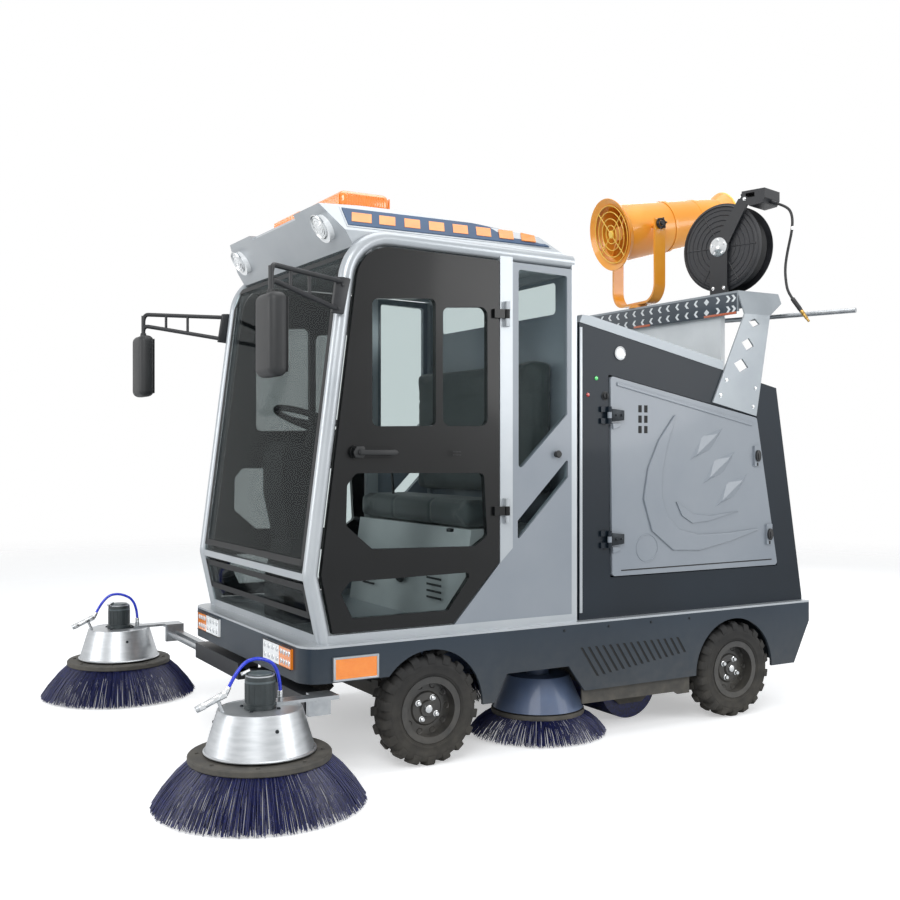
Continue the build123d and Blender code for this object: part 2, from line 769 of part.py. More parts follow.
def make_cab_glass():
    """Windscreen bent over its top, the pane below the kink, quarter panes and rear pane."""
    thick = 6
    outer = 16
    inner = outer - thick
    half = TUBE_Y - TUBE_RADIUS - SEAT_GAP
    low = KINK_Z + 5.3
    rise = KINK_Z - 21.3
    foot = DECK_TOP + 28.3
    far = ROOF_FRONT_X - 200
    with BuildPart() as glass:
        with BuildSketch(side_plane(half)) as pane:
            Polygon(
                (axis_x(low) + outer, low),
                (axis_x(ROOF_FRONT_Z) + outer, ROOF_FRONT_Z + outer),
                (far, ROOF_FRONT_Z + outer),
                (far, ROOF_FRONT_Z + inner),
                (axis_x(ROOF_FRONT_Z) + inner, ROOF_FRONT_Z + inner),
                (axis_x(low) + inner, low),
                align=None,
            )
            for reach in (outer, inner):
                corner = (axis_x(ROOF_FRONT_Z) + reach, ROOF_FRONT_Z + reach)
                fillet(pane.vertices().sort_by_distance(corner)[0], ROOF_BEND + reach)
            with Locations((far, CEILING_Z - SEAT_GAP)):
                Rectangle(500, 200, align=(Align.CENTER, Align.MIN), mode=Mode.SUBTRACT)
            Polygon(
                (axis_x(rise) + outer, rise),
                (axis_x(foot) + outer, foot),
                (axis_x(foot) + inner, foot),
                (axis_x(rise) + inner, rise),
                align=None,
            )
        extrude(amount=2 * half)
        middle = CAB_HALF - CAB_WALL / 2
        for side in (1, -1):
            with BuildSketch(wall_plane(side, middle - 2.5, middle + 2.5)):
                for points, radius in ((QUARTER_WINDOW, 12), (QUARTER_SLOT, 6)):
                    with BuildSketch(mode=Mode.PRIVATE) as pane:
                        Polygon(*points, align=None)
                        fillet(pane.vertices(), radius)
                        offset(amount=-SEAT_GAP)
                    add(pane.sketch)
            extrude(amount=5)
        with BuildSketch(front_plane(CAB_REAR_X + 1.5)):
            with BuildSketch(mode=Mode.PRIVATE) as pane:
                Polygon(*REAR_WINDOW, align=None)
                fillet(pane.vertices(), 20)
                offset(amount=-SEAT_GAP)
            add(pane.sketch)
        extrude(amount=5)
    save(glass, "cab_glass")


def make_roof():
    """Roof fairing: wedge seen from the side, its flanks leaning in, with a forward lamp visor."""
    flank_low = TUBE_Y - 11
    flank_high = flank_low - 99
    with BuildPart() as roof:
        with BuildSketch(side_plane(flank_low)):
            Polygon(
                (ROOF_FRONT_X - 17, CEILING_Z),
                (ROOF_FRONT_X - 14, CEILING_Z + 6),
                (VISOR_X, VISOR_Z),
                (ROOF_FRONT_X - 90, ROOF_TOP),
                (ROOF_FRONT_X - 250, ROOF_TOP),
                (-300, ROOF_TOP - 25),
                (-560, ROOF_TOP - 49),
                (-625, ROOF_FRONT_Z + 24),
                (CAB_REAR_X, ROOF_FRONT_Z + 2),
                (CAB_REAR_X, CEILING_Z),
                align=None,
            )
        extrude(amount=2 * flank_low)
        with BuildSketch(front_plane(CAB_REAR_X)):
            Polygon(
                (-flank_low, CEILING_Z),
                (flank_low, CEILING_Z),
                (flank_low, ROOF_FRONT_Z + 19),
                (flank_high, ROOF_TOP + 5),
                (-flank_high, ROOF_TOP + 5),
                (-flank_low, ROOF_FRONT_Z + 19),
                align=None,
            )
        extrude(amount=VISOR_X + 1 - CAB_REAR_X, mode=Mode.INTERSECT)
        # Dip in the visor's top edge between the two lamp pods
        with BuildSketch(side_plane(240)):
            Polygon(
                (ROOF_FRONT_X + 40, VISOR_Z + 20),
                (VISOR_X - 22, VISOR_Z - 18),
                (VISOR_X + 10, VISOR_Z - 18),
                (VISOR_X + 10, VISOR_Z + 20),
                align=None,
            )
        extrude(amount=480, mode=Mode.SUBTRACT)
        for side in (1, -1):
            sweep_tube(side, TUBE_RADIUS + SEAT_GAP, mode=Mode.SUBTRACT)
            with Locations((CAB_REAR_X, side * CAB_HALF, CEILING_Z - 10)):
                Box(80, 94 + 2 * SEAT_GAP, 60, mode=Mode.SUBTRACT)
    save(roof, "roof_fairing")


VISOR_X = 381
VISOR_Z = 2052
ROOF_TOP = 2061


def make_light_bar():
    """Amber warning light bar on low feet."""
    base = ROOF_TOP + 8
    top = ROOF_TOP + 98
    with BuildPart() as light:
        with BuildSketch(side_plane(350)) as section:
            Polygon((240, base), (240, top - 12), (190, top), (60, top), (10, top - 12), (10, base), align=None)
            fillet(section.vertices(), 6)
        extrude(amount=700)
        for side in (1, -1):
            with Locations((ROOF_FRONT_X - 170, side * 230, ROOF_TOP)):
                Box(120, 60, 10, align=(Align.CENTER, Align.CENTER, Align.MIN))
    save(light, "light_bar")


def make_lamps():
    """Work lamps in the visor, head lamps, amber indicators and tail lamps."""
    with BuildPart() as white:
        for y in (440, -440):
            face = Vector(VISOR_X - ROOF_FRONT_X + 14, 0, VISOR_Z - CEILING_Z - 6)
            tilt = Plane(
                origin=((VISOR_X + ROOF_FRONT_X - 14) / 2, y, (VISOR_Z + CEILING_Z + 6) / 2),
                x_dir=(0, 1, 0),
                z_dir=face.cross(Vector(0, -1, 0)),
            )
            with BuildSketch(tilt):
                Circle(52)
            extrude(amount=22)
        with BuildSketch(front_plane(NOSE_X)):
            for side in (1, -1):
                with Locations((side * 340, 420)):
                    Rectangle(158, 72)
        extrude(amount=10)
    save(white, "white_lamps")
    with BuildPart() as amber:
        with BuildSketch(front_plane(NOSE_X)):
            for side in (1, -1):
                with Locations((side * 476, 420)):
                    Rectangle(110, 72)
        extrude(amount=10)
        for side in (1, -1):
            with BuildSketch(wall_plane(side, BODY_HALF, BODY_HALF + 9)):
                with Locations((306, 393)):
                    Rectangle(168, 76)
            extrude(amount=9)
    save(amber, "amber_lamps")
    with BuildPart() as red:
        with BuildSketch(front_plane(TAIL_X - 10)):
            for side in (1, -1):
                with Locations((side * 500, 425)):
                    Rectangle(150, 60)
        extrude(amount=10)
    save(red, "tail_lamps")


def bar(start, end, radius):
    """Round bar between two points, in the part being built."""
    first = Vector(*start)
    last = Vector(*end)
    with BuildSketch(Plane(origin=first, z_dir=last - first)) as section:
        Circle(radius)
    extrude(section.sketch, amount=(last - first).length, dir=last - first)


MIRROR_X = 678
MIRROR_Y = CAB_HALF + 183
MIRROR_Z = 1531


def route_radii(points):
    """Bend radius at each inner corner of a route: the arcs take 0.45 of the shorter run."""
    corners = [Vector(*point) for point in points]
    radii = []
    for before, corner, after in zip(corners, corners[1:], corners[2:]):
        arriving = corner - before
        leaving = after - corner
        half_turn = math.radians(arriving.get_angle(leaving) / 2)
        radii.append(0.45 * min(arriving.length, leaving.length) / math.tan(half_turn))
    return radii


def make_hose(points, fitting_length, name):
    """Hose along straight runs joined by tangent arcs, with any end fitting beyond the last point."""
    radii = route_radii(points)
    print(name, "bend radii", [round(value) for value in radii])
    start = Vector(*points[0])
    end = Vector(*points[-1])
    onward = (end - Vector(*points[-2])).normalized()
    with BuildPart() as hose:
        with BuildLine() as path:
            FilletPolyline(*points, radius=radii)
        with BuildSketch(Plane(origin=start, z_dir=Vector(*points[1]) - start)) as section:
            Circle(HOSE_RADIUS)
        sweep(sections=section.sketch, path=path.line)
        if fitting_length:
            sleeve_end = end + onward * fitting_length * 0.55
            bar(tuple(end - onward * 4), tuple(sleeve_end), HOSE_RADIUS + 3)
            bar(tuple(sleeve_end), tuple(end + onward * fitting_length), HOSE_RADIUS + 1)
    save(hose, name)


def brush_hose_route(side):
    """Route of a brush hose: from the nozzle's elbow over the motor to the arm's bracket."""
    y = brush_centre(side)
    route = ((113, 0, 378), (72, 1, 462), (-3, 6, 480), (-80, 25, 432), (-80, 25, HOSE_FITTING_TOP))
    return [(BRUSH_X + forward, y - side * inward, z) for forward, inward, z in route]


def reel_hose_route():
    """Route of the reel's hose: out of the roller box and down outside the platform's leg."""
    outlet = reel_frame().from_local_coords(Vector(*REEL_OUTLET[1], 13))
    route = ((46, -20, -12), (72, -57, -19), (74, -122, -20), (45, -227, -17), (35, -298, -14))
    route += ((42, -361, -13), (55, -408, -13), (89, -448, -13))
    return [tuple(outlet)] + [
        (outlet.X + forward, outlet.Y + outward, outlet.Z + rise) for outward, rise, forward in route
    ]


def make_mirrors():
    """Truck-style mirrors on tube arms from the front pillars."""
    with BuildPart() as mirrors:
        for side in (1, -1):
            root_y = side * (CAB_HALF + 14)
            corner = side * (MIRROR_Y - 3)
            with BuildSketch(wall_plane(side, CAB_HALF + 3.3, CAB_HALF + 20)):
                Polygon((345, 1768), (318, 1764), (346, 1636), (392, 1640), (372, 1766), align=None)
            extrude(amount=16.7)
            bar((352, root_y, 1752), (MIRROR_X, corner, 1762), 9)
            bar((372, root_y, 1655), (MIRROR_X, corner, 1712), 9)
            bar((505, side * 695, 1757), (505, side * 695, 1678), 6)
            bar((MIRROR_X, corner, 1771), (MIRROR_X, corner, 1640), 9)
            with Locations((MIRROR_X, side * MIRROR_Y, MIRROR_Z)):
                Box(70, 150, 272)
    save(mirrors, "mirrors")


def make_dashboard():
    """Steering pedestal with its console head, base and column."""
    with BuildPart() as dash:
        with BuildSketch(side_plane(105)):
            Polygon((365, DECK_TOP), (365, 640), (330, 800), (370, 980), (372, 1150), (340, 1192), (225, 1160), (225, 1020), (262, 800), (262, 640), (235, 600), (235, DECK_TOP), align=None)
        extrude(amount=210)
        centre = Vector(*WHEEL_CENTRE)
        bar(tuple(centre - COLUMN_AXIS * 168), tuple(centre - COLUMN_AXIS * 9.3), 22)
    save(dash, "dashboard")


WHEEL_CENTRE = (180, 0, 1268)
COLUMN_AXIS = Vector(-0.342, 0, 0.94)


def make_steering_wheel():
    origin = Vector(*WHEEL_CENTRE)
    plane = Plane(origin=origin, x_dir=(0, 1, 0), z_dir=COLUMN_AXIS)
    ring = 172
    tube = 13
    with BuildPart() as wheel:
        with BuildSketch(Plane(origin=origin, x_dir=(0, 1, 0), z_dir=COLUMN_AXIS.cross(Vector(0, 1, 0)))):
            with Locations((ring, 0)):
                Circle(tube)
        revolve(axis=Axis(WHEEL_CENTRE, tuple(COLUMN_AXIS)))
        with BuildSketch(plane.offset(-9)):
            Circle(34)
            for angle in (90, 210, 330):
                with Locations((ring / 2 * math.cos(math.radians(angle)), ring / 2 * math.sin(math.radians(angle)))):
                    Rectangle(ring, 22, rotation=angle)
        extrude(amount=12)
    save(wheel, "steering_wheel")


SEAT_HALF = CAB_HALF - 107
SEAT_FRONT = -235
SEAT_TOP = 962
CUSHION_THICK = 115


def make_seat():
    base_top = SEAT_TOP - CUSHION_THICK - SEAT_GAP
    rear = CAB_REAR_X + WALL_SHEET
    with BuildPart() as base:
        with BuildSketch(side_plane(SEAT_HALF)):
            Polygon((SEAT_FRONT - 20, base_top), (SEAT_FRONT + 35, DECK_TOP), (rear, DECK_TOP), (rear, base_top), align=None)
        extrude(amount=2 * SEAT_HALF)
        with BuildSketch(side_plane(SEAT_HALF - 10)):
            Polygon((SEAT_FRONT - 32, base_top - 12), (SEAT_FRONT + 22, DECK_TOP), (rear + 12, DECK_TOP), (rear + 12, base_top - 12), align=None)
        extrude(amount=2 * SEAT_HALF - 20, mode=Mode.SUBTRACT)
    save(base, "seat_base")
    with BuildPart() as cushions:
        with BuildSketch(side_plane(SEAT_HALF - 10)) as side_view:
            Polygon((SEAT_FRONT, SEAT_TOP - CUSHION_THICK), (SEAT_FRONT, SEAT_TOP - 12), (-520, SEAT_TOP), (-520, SEAT_TOP - CUSHION_THICK), align=None)
            fillet(side_view.vertices().group_by(Axis.X)[-1], 30)
        extrude(amount=2 * SEAT_HALF - 20)
        with BuildSketch(side_plane(SEAT_HALF - 10)) as back_view:
            Polygon((-525, SEAT_TOP - CUSHION_THICK), (-560, 1530), (rear - SEAT_GAP + 0.6, 1530), (rear - SEAT_GAP + 0.6, SEAT_TOP - CUSHION_THICK), align=None)
            fillet(back_view.vertices().group_by(Axis.Y)[-1], 25)
        extrude(amount=2 * SEAT_HALF - 20)
    save(cushions, "seat_cushions")


# Rear body

def hatch_outline(shrink=0):
    """Hatch edge as seen from the side; its top runs with the body's slope."""
    return (
        (-853 - shrink, 1461 - shrink),
        (-1673 + shrink, 1301 - shrink),
        (-1800 + shrink, 643 + shrink),
        (-863 - shrink, 643 + shrink),
    )


def make_rear_body():
    """Hollow tapered body with an opening behind each side hatch."""
    with BuildPart() as body:
        with BuildSketch(side_plane(REAR_HALF)):
            Polygon(
                (REAR_FRONT_X, DECK_TOP),
                (REAR_FRONT_X, REAR_TOP_Z),
                (REAR_TOP_END_X, body_top(REAR_TOP_END_X)),
                (REAR_FOOT_X + 43, DECK_TOP + 16),
                (REAR_FOOT_X + 43, DECK_TOP),
                align=None,
            )
        extrude(amount=2 * REAR_HALF)
        inner = REAR_HALF - REAR_SHEET
        with BuildSketch(side_plane(inner)):
            Polygon(
                (REAR_FRONT_X - REAR_SHEET, DECK_TOP),
                (REAR_FRONT_X - REAR_SHEET, REAR_TOP_Z - REAR_SHEET - 4),
                (REAR_TOP_END_X + 8, body_top(REAR_TOP_END_X) - REAR_SHEET),
                (REAR_FOOT_X + 54, DECK_TOP + 16),
                (REAR_FOOT_X + 54, DECK_TOP),
                align=None,
            )
        extrude(amount=2 * inner, mode=Mode.SUBTRACT)
        with BuildSketch(side_plane(REAR_HALF + 1)):
            Polygon(*hatch_outline(-HATCH_GAP), align=None)
        extrude(amount=2 * REAR_HALF + 2, mode=Mode.SUBTRACT)
        # Hinge barrels and latch striker land
        for side in (1, -1):
            for z in HATCH_HINGE_Z:
                for level in (1, -1):
                    with Locations((HATCH_HINGE_X, side * HATCH_HINGE_Y, z + level * 24)):
                        Cylinder(9, 22)
                    with Locations((HATCH_HINGE_X + 17, side * (REAR_HALF + 5), z + level * 24)):
                        Box(40, 10, 22)
                    with Locations((HATCH_HINGE_X, side * HATCH_HINGE_Y, z + level * 24)):
                        Cylinder(4, 24, mode=Mode.SUBTRACT)
    save(body, "rear_body")


HATCH_HINGE_X = -840
HATCH_HINGE_Y = REAR_HALF + HATCH_PROUD + 11
HATCH_HINGE_Z = (795, 1300)


def make_hatch(side):
    """Side hatch hung at its front edge, with hinge leaves and two latches."""
    outer = REAR_HALF + HATCH_PROUD
    with BuildPart() as hatch:
        with BuildSketch(wall_plane(side, outer - HATCH_THICK, outer)) as edge:
            Polygon(*hatch_outline(), align=None)
            fillet(edge.vertices(), 14)
        extrude(amount=HATCH_THICK)
        for z in HATCH_HINGE_Z:
            with Locations((HATCH_HINGE_X, side * HATCH_HINGE_Y, z)):
                Cylinder(9, 24)
                Cylinder(4 - RUNNING_FIT, 68)
            with Locations((HATCH_HINGE_X - 40, side * (outer + 5), z)):
                Box(80, 10, 24)
        for x, z in ((-1668, 1132), (-1742, 782)):
            with Locations((x, side * (outer + 5), z)):
                Box(34, 10, 90)
    save(hatch, f"hatch_{hand(side)}")


def make_top_cover():
    """Slab lid along the sloping top, its front edge stepped down."""
    half = REAR_HALF + 3
    with BuildPart() as cover:
        with BuildSketch(side_plane(half)):
            Polygon(
                (REAR_FRONT_X, body_top(REAR_FRONT_X)),
                (REAR_FRONT_X - 14, REAR_TOP_Z + 30),
                (REAR_FRONT_X - 62, body_top(REAR_FRONT_X - 62) + COVER_THICK),
                (COVER_END_X, body_top(COVER_END_X) + COVER_THICK),
                (COVER_END_X, body_top(COVER_END_X)),
                align=None,
            )
        extrude(amount=2 * half)
    save(cover, "top_cover")


def make_battery():
    with BuildPart() as battery:
        with Locations((-1120, 0, DECK_TOP)):
            Box(620, 560, 280, align=(Align.CENTER, Align.CENTER, Align.MIN))
    save(battery, "battery_block")


# Platform and what stands on it

def make_platform():
    """Bridge over the rear body: two perforated legs, folded shoulders and a plate."""
    leg_in = REAR_HALF
    leg_out = leg_in + PLATE
    with BuildPart() as platform:
        with BuildSketch(Plane.XY.offset(PLATFORM_Z - PLATE)):
            with Locations(((PLATFORM_FRONT + PLATFORM_REAR) / 2, 0)):
                Rectangle(PLATFORM_FRONT - PLATFORM_REAR, 2 * PLATFORM_HALF)
        extrude(amount=PLATE)
        # Front flange, and a shallower one at the rear
        with Locations((PLATFORM_FRONT - PLATE / 2, 0, PLATFORM_Z - FLANGE_HEIGHT / 2)):
            Box(PLATE, 2 * PLATFORM_HALF, FLANGE_HEIGHT)
        with Locations((PLATFORM_REAR + PLATE / 2, 0, PLATFORM_Z - 20)):
            Box(PLATE, 2 * PLATFORM_HALF, 40)
        for side in (1, -1):
            # Shoulder: sheet folded from the plate's edge down to the leg
            with BuildSketch(front_plane(PLATFORM_REAR)):
                Polygon(
                    (side * PLATFORM_HALF, PLATFORM_Z),
                    (side * leg_out, LEG_FOLD_Z),
                    (side * leg_in, LEG_FOLD_Z),
                    (side * (PLATFORM_HALF - 4), PLATFORM_Z - PLATE),
                    (side * (PLATFORM_HALF - 4), PLATFORM_Z),
                    align=None,
                )
            extrude(amount=PLATFORM_FRONT - PLATFORM_REAR)
            with BuildSketch(wall_plane(side, leg_in - 60, leg_out + 1)):
                Polygon(
                    (PLATFORM_REAR - 1, PLATFORM_Z + 1),
                    (PLATFORM_REAR - 1, LEG_FOLD_Z - 1),
                    (-1754, LEG_FOLD_Z - 1),
                    (PLATFORM_REAR - 1, PLATFORM_Z - 46),
                    align=None,
                )
            extrude(amount=PLATE + 61, mode=Mode.SUBTRACT)
            with BuildSketch(wall_plane(side, leg_in, leg_out)):
                Polygon(
                    (-1411, 1365),
                    (-1670, 1309),
                    (-1754, LEG_FOLD_Z),
                    (PLATFORM_FRONT, LEG_FOLD_Z),
                    align=None,
                )
                for x, z, wide, high in ((-1655, 1722, 66, 40), (-1617, 1625, 74, 56), (-1577, 1530, 84, 62)):
                    Polygon(
                        (x - wide / 2, z - high * 0.12),
                        (x - wide * 0.08, z + high / 2),
                        (x + wide / 2, z + high * 0.12),
                        (x + wide * 0.08, z - high / 2),
                        align=None,
                        mode=Mode.SUBTRACT,
                    )
            extrude(amount=PLATE)
        # Two hangers for the boom under the plate
        for y in (150, 430):
            with Locations((boom_x(y), y, BOOM_Z)):
                Box(30, 24, PLATFORM_Z - PLATE - BOOM_Z, align=(Align.CENTER, Align.CENTER, Align.MIN))
        boom(11 + 0, Mode.SUBTRACT)
    save(platform, "platform")


BOOM_Z = 1770
BOOM_START = (-1694, 40, BOOM_Z)
BOOM_END = (-1993, 878, BOOM_Z)


def boom_x(y):
    share = (y - BOOM_START[1]) / (BOOM_END[1] - BOOM_START[1])
    return BOOM_START[0] + share * (BOOM_END[0] - BOOM_START[0])


def boom(radius, mode=Mode.ADD):
    first = Vector(*BOOM_START)
    last = Vector(*BOOM_END)
    with BuildSketch(Plane(origin=first, z_dir=last - first)) as section:
        Circle(radius)
    extrude(section.sketch, amount=(last - first).length, dir=last - first, mode=mode)


def make_boom():
    with BuildPart() as pole:
        boom(11)
    save(pole, "support_boom")


def make_platform_panel():
    """Pale screen that stands on the body's top behind the platform's front flange."""
    x = PLATFORM_FRONT - PLATE - 12
    with BuildPart() as panel:
        with BuildSketch(side_plane(437)):
            Polygon(
                (x, body_top(x)),
                (x, PLATFORM_Z - PLATE),
                (x - 25, PLATFORM_Z - PLATE),
                (x - 25, body_top(x - 25)),
                align=None,
            )
        extrude(amount=874)
    save(panel, "platform_panel")


def cannon_plane():
    """Frame of the cannon: z along the barrel towards its mouth, x across it to the left."""
    yaw = math.radians(CANNON_YAW)
    pitch = math.radians(CANNON_PITCH)
    forward = (
        math.cos(pitch) * math.cos(yaw),
        math.cos(pitch) * math.sin(yaw),
        math.sin(pitch),
    )
    across = (-math.sin(yaw), math.cos(yaw), 0)
    return Plane(origin=(CANNON_X, CANNON_Y, CANNON_Z), x_dir=across, z_dir=forward)


def make_yoke():
    """U strap that turns on a pivot in the platform and holds the cannon's trunnions."""
    yaw = math.radians(CANNON_YAW)
    across = (-math.sin(yaw), math.cos(yaw), 0)
    forward = (math.cos(yaw), math.sin(yaw), 0)
    base = PLATFORM_Z + 14
    drop = CANNON_Z - base
    plane = Plane(origin=(CANNON_X, CANNON_Y, CANNON_Z), x_dir=across, z_dir=forward)
    with BuildPart() as yoke:
        with BuildSketch(plane.offset(-YOKE_WIDTH / 2)) as strap:
            outer = YOKE_HALF
            inner = YOKE_HALF - YOKE_STRAP
            Polygon((-outer, 26), (-outer, -drop), (outer, -drop), (outer, 26), align=None)
            fillet(strap.vertices().group_by(Axis.Y)[0], 90)
            with BuildSketch(mode=Mode.PRIVATE) as gap:
                Polygon((-inner, 27), (-inner, YOKE_STRAP - drop), (inner, YOKE_STRAP - drop), (inner, 27), align=None)
                fillet(gap.vertices().group_by(Axis.Y)[0], 90 - YOKE_STRAP)
            add(gap.sketch, mode=Mode.SUBTRACT)
        extrude(amount=YOKE_WIDTH)
        with Locations((CANNON_X, CANNON_Y, PLATFORM_Z + 7)):
            Cylinder(45, 14)
        with BuildSketch(Plane(origin=(CANNON_X, CANNON_Y, CANNON_Z), z_dir=across).offset(-YOKE_HALF - 1)):
            Circle(14)
        extrude(amount=2 * YOKE_HALF + 2, mode=Mode.SUBTRACT)
    save(yoke, "cannon_yoke")


def make_cannon():
    """Fan cannon: tapered barrel, flared mouth with its guard, tail ring and trunnions."""
    frame = cannon_plane()
    radial = Plane(origin=frame.origin, x_dir=frame.x_dir, z_dir=frame.y_dir * -1)
    axis = Axis(tuple(frame.origin), tuple(frame.z_dir))
    wall = 6
    with BuildPart() as cannon:
        with BuildSketch(radial):
            Polygon(
                (TAIL_RIM_RADIUS, -TAIL_REACH),
                (TAIL_RIM_RADIUS, -TAIL_REACH + 14),
                (TAIL_RADIUS + wall, -TAIL_REACH + 60),
                (MOUTH_RADIUS, MOUTH_REACH - 40),
                (MOUTH_RIM_RADIUS, MOUTH_REACH),
                (MOUTH_RIM_RADIUS - wall, MOUTH_REACH),
                (MOUTH_RADIUS - wall, MOUTH_REACH - 42),
                (TAIL_RADIUS, -TAIL_REACH + 60),
                (TAIL_RIM_RADIUS - 10, -TAIL_REACH),
                align=None,
            )
        revolve(axis=axis)
        # Fan hub and its spider across the mouth
        with BuildSketch(frame.offset(MOUTH_REACH - 60)):
            Circle(34)
            Rectangle(2 * MOUTH_RADIUS - 2, 10, rotation=45)
        extrude(amount=10)
        with BuildSketch(frame.offset(-300)):
            Circle(70)
        extrude(amount=260)
        with BuildSketch(frame.offset(-300)):
            Rectangle(2 * TAIL_RADIUS + 28, 10)
            Rectangle(10, 2 * TAIL_RADIUS + 28)
        extrude(amount=16)
        for side in (1, -1):
            start = frame.origin + frame.x_dir * (side * (MOUTH_RADIUS - 25))
            with BuildSketch(Plane(origin=start, z_dir=frame.x_dir * side)):
                Circle(14 - RUNNING_FIT)
            extrude(amount=YOKE_HALF - MOUTH_RADIUS + 25 + 14)
    save(cannon, "cannon_barrel")


def reel_frame():
    """Frame of the hose reel: z along its axle, away from the vehicle's nose side."""
    yaw = math.radians(REEL_YAW)
    axle = (math.cos(yaw), math.sin(yaw), 0)
    across = (-math.sin(yaw), math.cos(yaw), 0)
    return Plane(origin=(REEL_X, REEL_Y, PLATFORM_Z + REEL_RADIUS + 24), x_dir=across, z_dir=axle)


def make_reel():
    """Retractable hose reel: stand with its guide arm, and the drum with its hose."""
    frame = reel_frame()
    half = REEL_WIDTH / 2
    axis = Axis(tuple(frame.origin), tuple(frame.z_dir))
    radial = Plane(origin=frame.origin, x_dir=frame.x_dir, z_dir=frame.y_dir * -1)
    drop = REEL_RADIUS + 24
    with BuildPart() as stand:
        # Upright in front of the drum, foot, axle and the arm to the roller box
        with BuildSketch(frame.offset(half + 6)):
            Polygon((-45, 20), (-45, -drop), (45, -drop), (45, 20), align=None)
            Circle(52)
            Polygon((-30, 12), (118, 228), (160, 200), (28, -30), align=None)
        extrude(amount=14)
        with BuildSketch(frame.offset(-half - 20)):
            Polygon((-45, 20), (-45, -drop), (45, -drop), (45, 20), align=None)
            Circle(52)
        extrude(amount=14)
        with BuildSketch(frame.offset(-half - 20)):
            Polygon((-70, 8 - drop), (-70, -drop), (70, -drop), (70, 8 - drop), align=None)
        extrude(amount=2 * half + 40)
        with BuildSketch(frame.offset(-half - 10)):
            Circle(BORE_RADIUS - RUNNING_FIT)
        extrude(amount=2 * half + 20)
        # Roller box and its outlet
        with BuildSketch(frame.offset(-half + 6)):
            Polygon((120, 237), (120, 200), (160, 165), (222, 172), (235, 195), (235, 237), align=None)
            Polygon((140, 225), (140, 205), (185, 205), (185, 225), align=None, mode=Mode.SUBTRACT)
        extrude(amount=2 * half + 14)
        outlet = [frame.from_local_coords(Vector(*point, 13)) for point in REEL_OUTLET]
        short = (outlet[1] - outlet[0]).normalized() * HOSE_GAP
        bar(tuple(outlet[0]), tuple(outlet[1] - short), HOSE_RADIUS + 3)
    save(stand, "reel_stand")
    with BuildPart() as drum:
        with BuildSketch(radial):
            Polygon(
                (BORE_RADIUS, -half),
                (REEL_RADIUS - 24, -half),
                (REEL_RADIUS, -half + 8),
                (REEL_RADIUS, -half + 12),
                (REEL_RADIUS - 30, -half + 8),
                (REEL_RADIUS - 30, -half + 14),
                (REEL_RADIUS - 30, half - 14),
                (REEL_RADIUS - 30, half - 8),
                (REEL_RADIUS, half - 12),
                (REEL_RADIUS, half - 8),
                (REEL_RADIUS - 24, half),
                (BORE_RADIUS, half),
                align=None,
            )
        revolve(axis=axis)
    save(drum, "reel_drum")


# Brushes

def brush_centre(side):
    return LEFT_BRUSH_Y if side > 0 else -RIGHT_BRUSH_Y


def make_sleeves():
    """Square guide sleeves under the nose in which the brush arms slide."""
    with BuildPart() as sleeves:
        for side in (1, -1):
            middle = side * (SLEEVE_START_Y + SLEEVE_END_Y) / 2
            length = SLEEVE_END_Y - SLEEVE_START_Y
            with Locations((ARM_X, middle, ARM_Z)):
                Box(84, length, 66)
            with Locations((RAIL_FRONT - 40, side * RAIL_Y, ARM_Z + 20)):
                Box(80, 60, RAIL_BOTTOM - ARM_Z - 20, align=(Align.CENTER, Align.CENTER, Align.MIN))
            with Locations((RAIL_FRONT - 20, side * RAIL_Y, ARM_Z + 20)):
                Box(60, 60, 13, align=(Align.CENTER, Align.CENTER, Align.MIN))
            with Locations((ARM_X - 20, middle, ARM_Z)):
                Box(30 + 2 * SEAT_GAP, length + 2, 30 + 2 * SEAT_GAP, mode=Mode.SUBTRACT)
            with Locations((ARM_X + 21, middle, ARM_Z)):
                Cylinder(11 + SEAT_GAP, length + 2, rotation=(90, 0, 0), mode=Mode.SUBTRACT)
    save(sleeves, "arm_sleeves")


def make_brush_arm(side):
    """Sliding arm: guide bar, bright rod, end block and the bracket over the hood."""
    end = brush_centre(side) - side * 92
    middle = end - side * ARM_LENGTH / 2
    with BuildPart() as arm:
        with Locations((ARM_X - 20, middle, ARM_Z)):
            Box(30, ARM_LENGTH, 30)
        with Locations((ARM_X + 21, middle, ARM_Z)):
            Cylinder(11, ARM_LENGTH, rotation=(90, 0, 0))
        with Locations((ARM_X, end + side * 10, ARM_Z)):
            Box(84, 20, 66)
        with Locations((ARM_X, end + side * 45, HOOD_TOP + 10)):
            Box(84, 90, 15, align=(Align.CENTER, Align.CENTER, Align.MAX))
        with BuildSketch(Plane.XY.offset(HOOD_TOP)):
            with Locations(((ARM_X + BRUSH_X - MOTOR_RADIUS) / 2 - 24, brush_centre(side) - side * 30)):
                Rectangle(BRUSH_X - MOTOR_RADIUS - ARM_X + 32, 60)
        extrude(amount=10)
        with Locations((ARM_X, end + side * 10, ARM_Z + 20)):
            Box(84, 20, HOOD_TOP - ARM_Z - 10, align=(Align.CENTER, Align.CENTER, Align.MIN))
        # Fitting that the brush hose ends on
        fitting = brush_hose_route(side)[-1]
        with Locations((fitting[0], fitting[1], HOOD_TOP + 10)):
            Cylinder(
                HOSE_RADIUS + 3,
                HOSE_FITTING_TOP - HOSE_GAP - HOOD_TOP - 10,
                align=(Align.CENTER, Align.CENTER, Align.MIN),
            )
    save(arm, f"brush_arm_{hand(side)}")


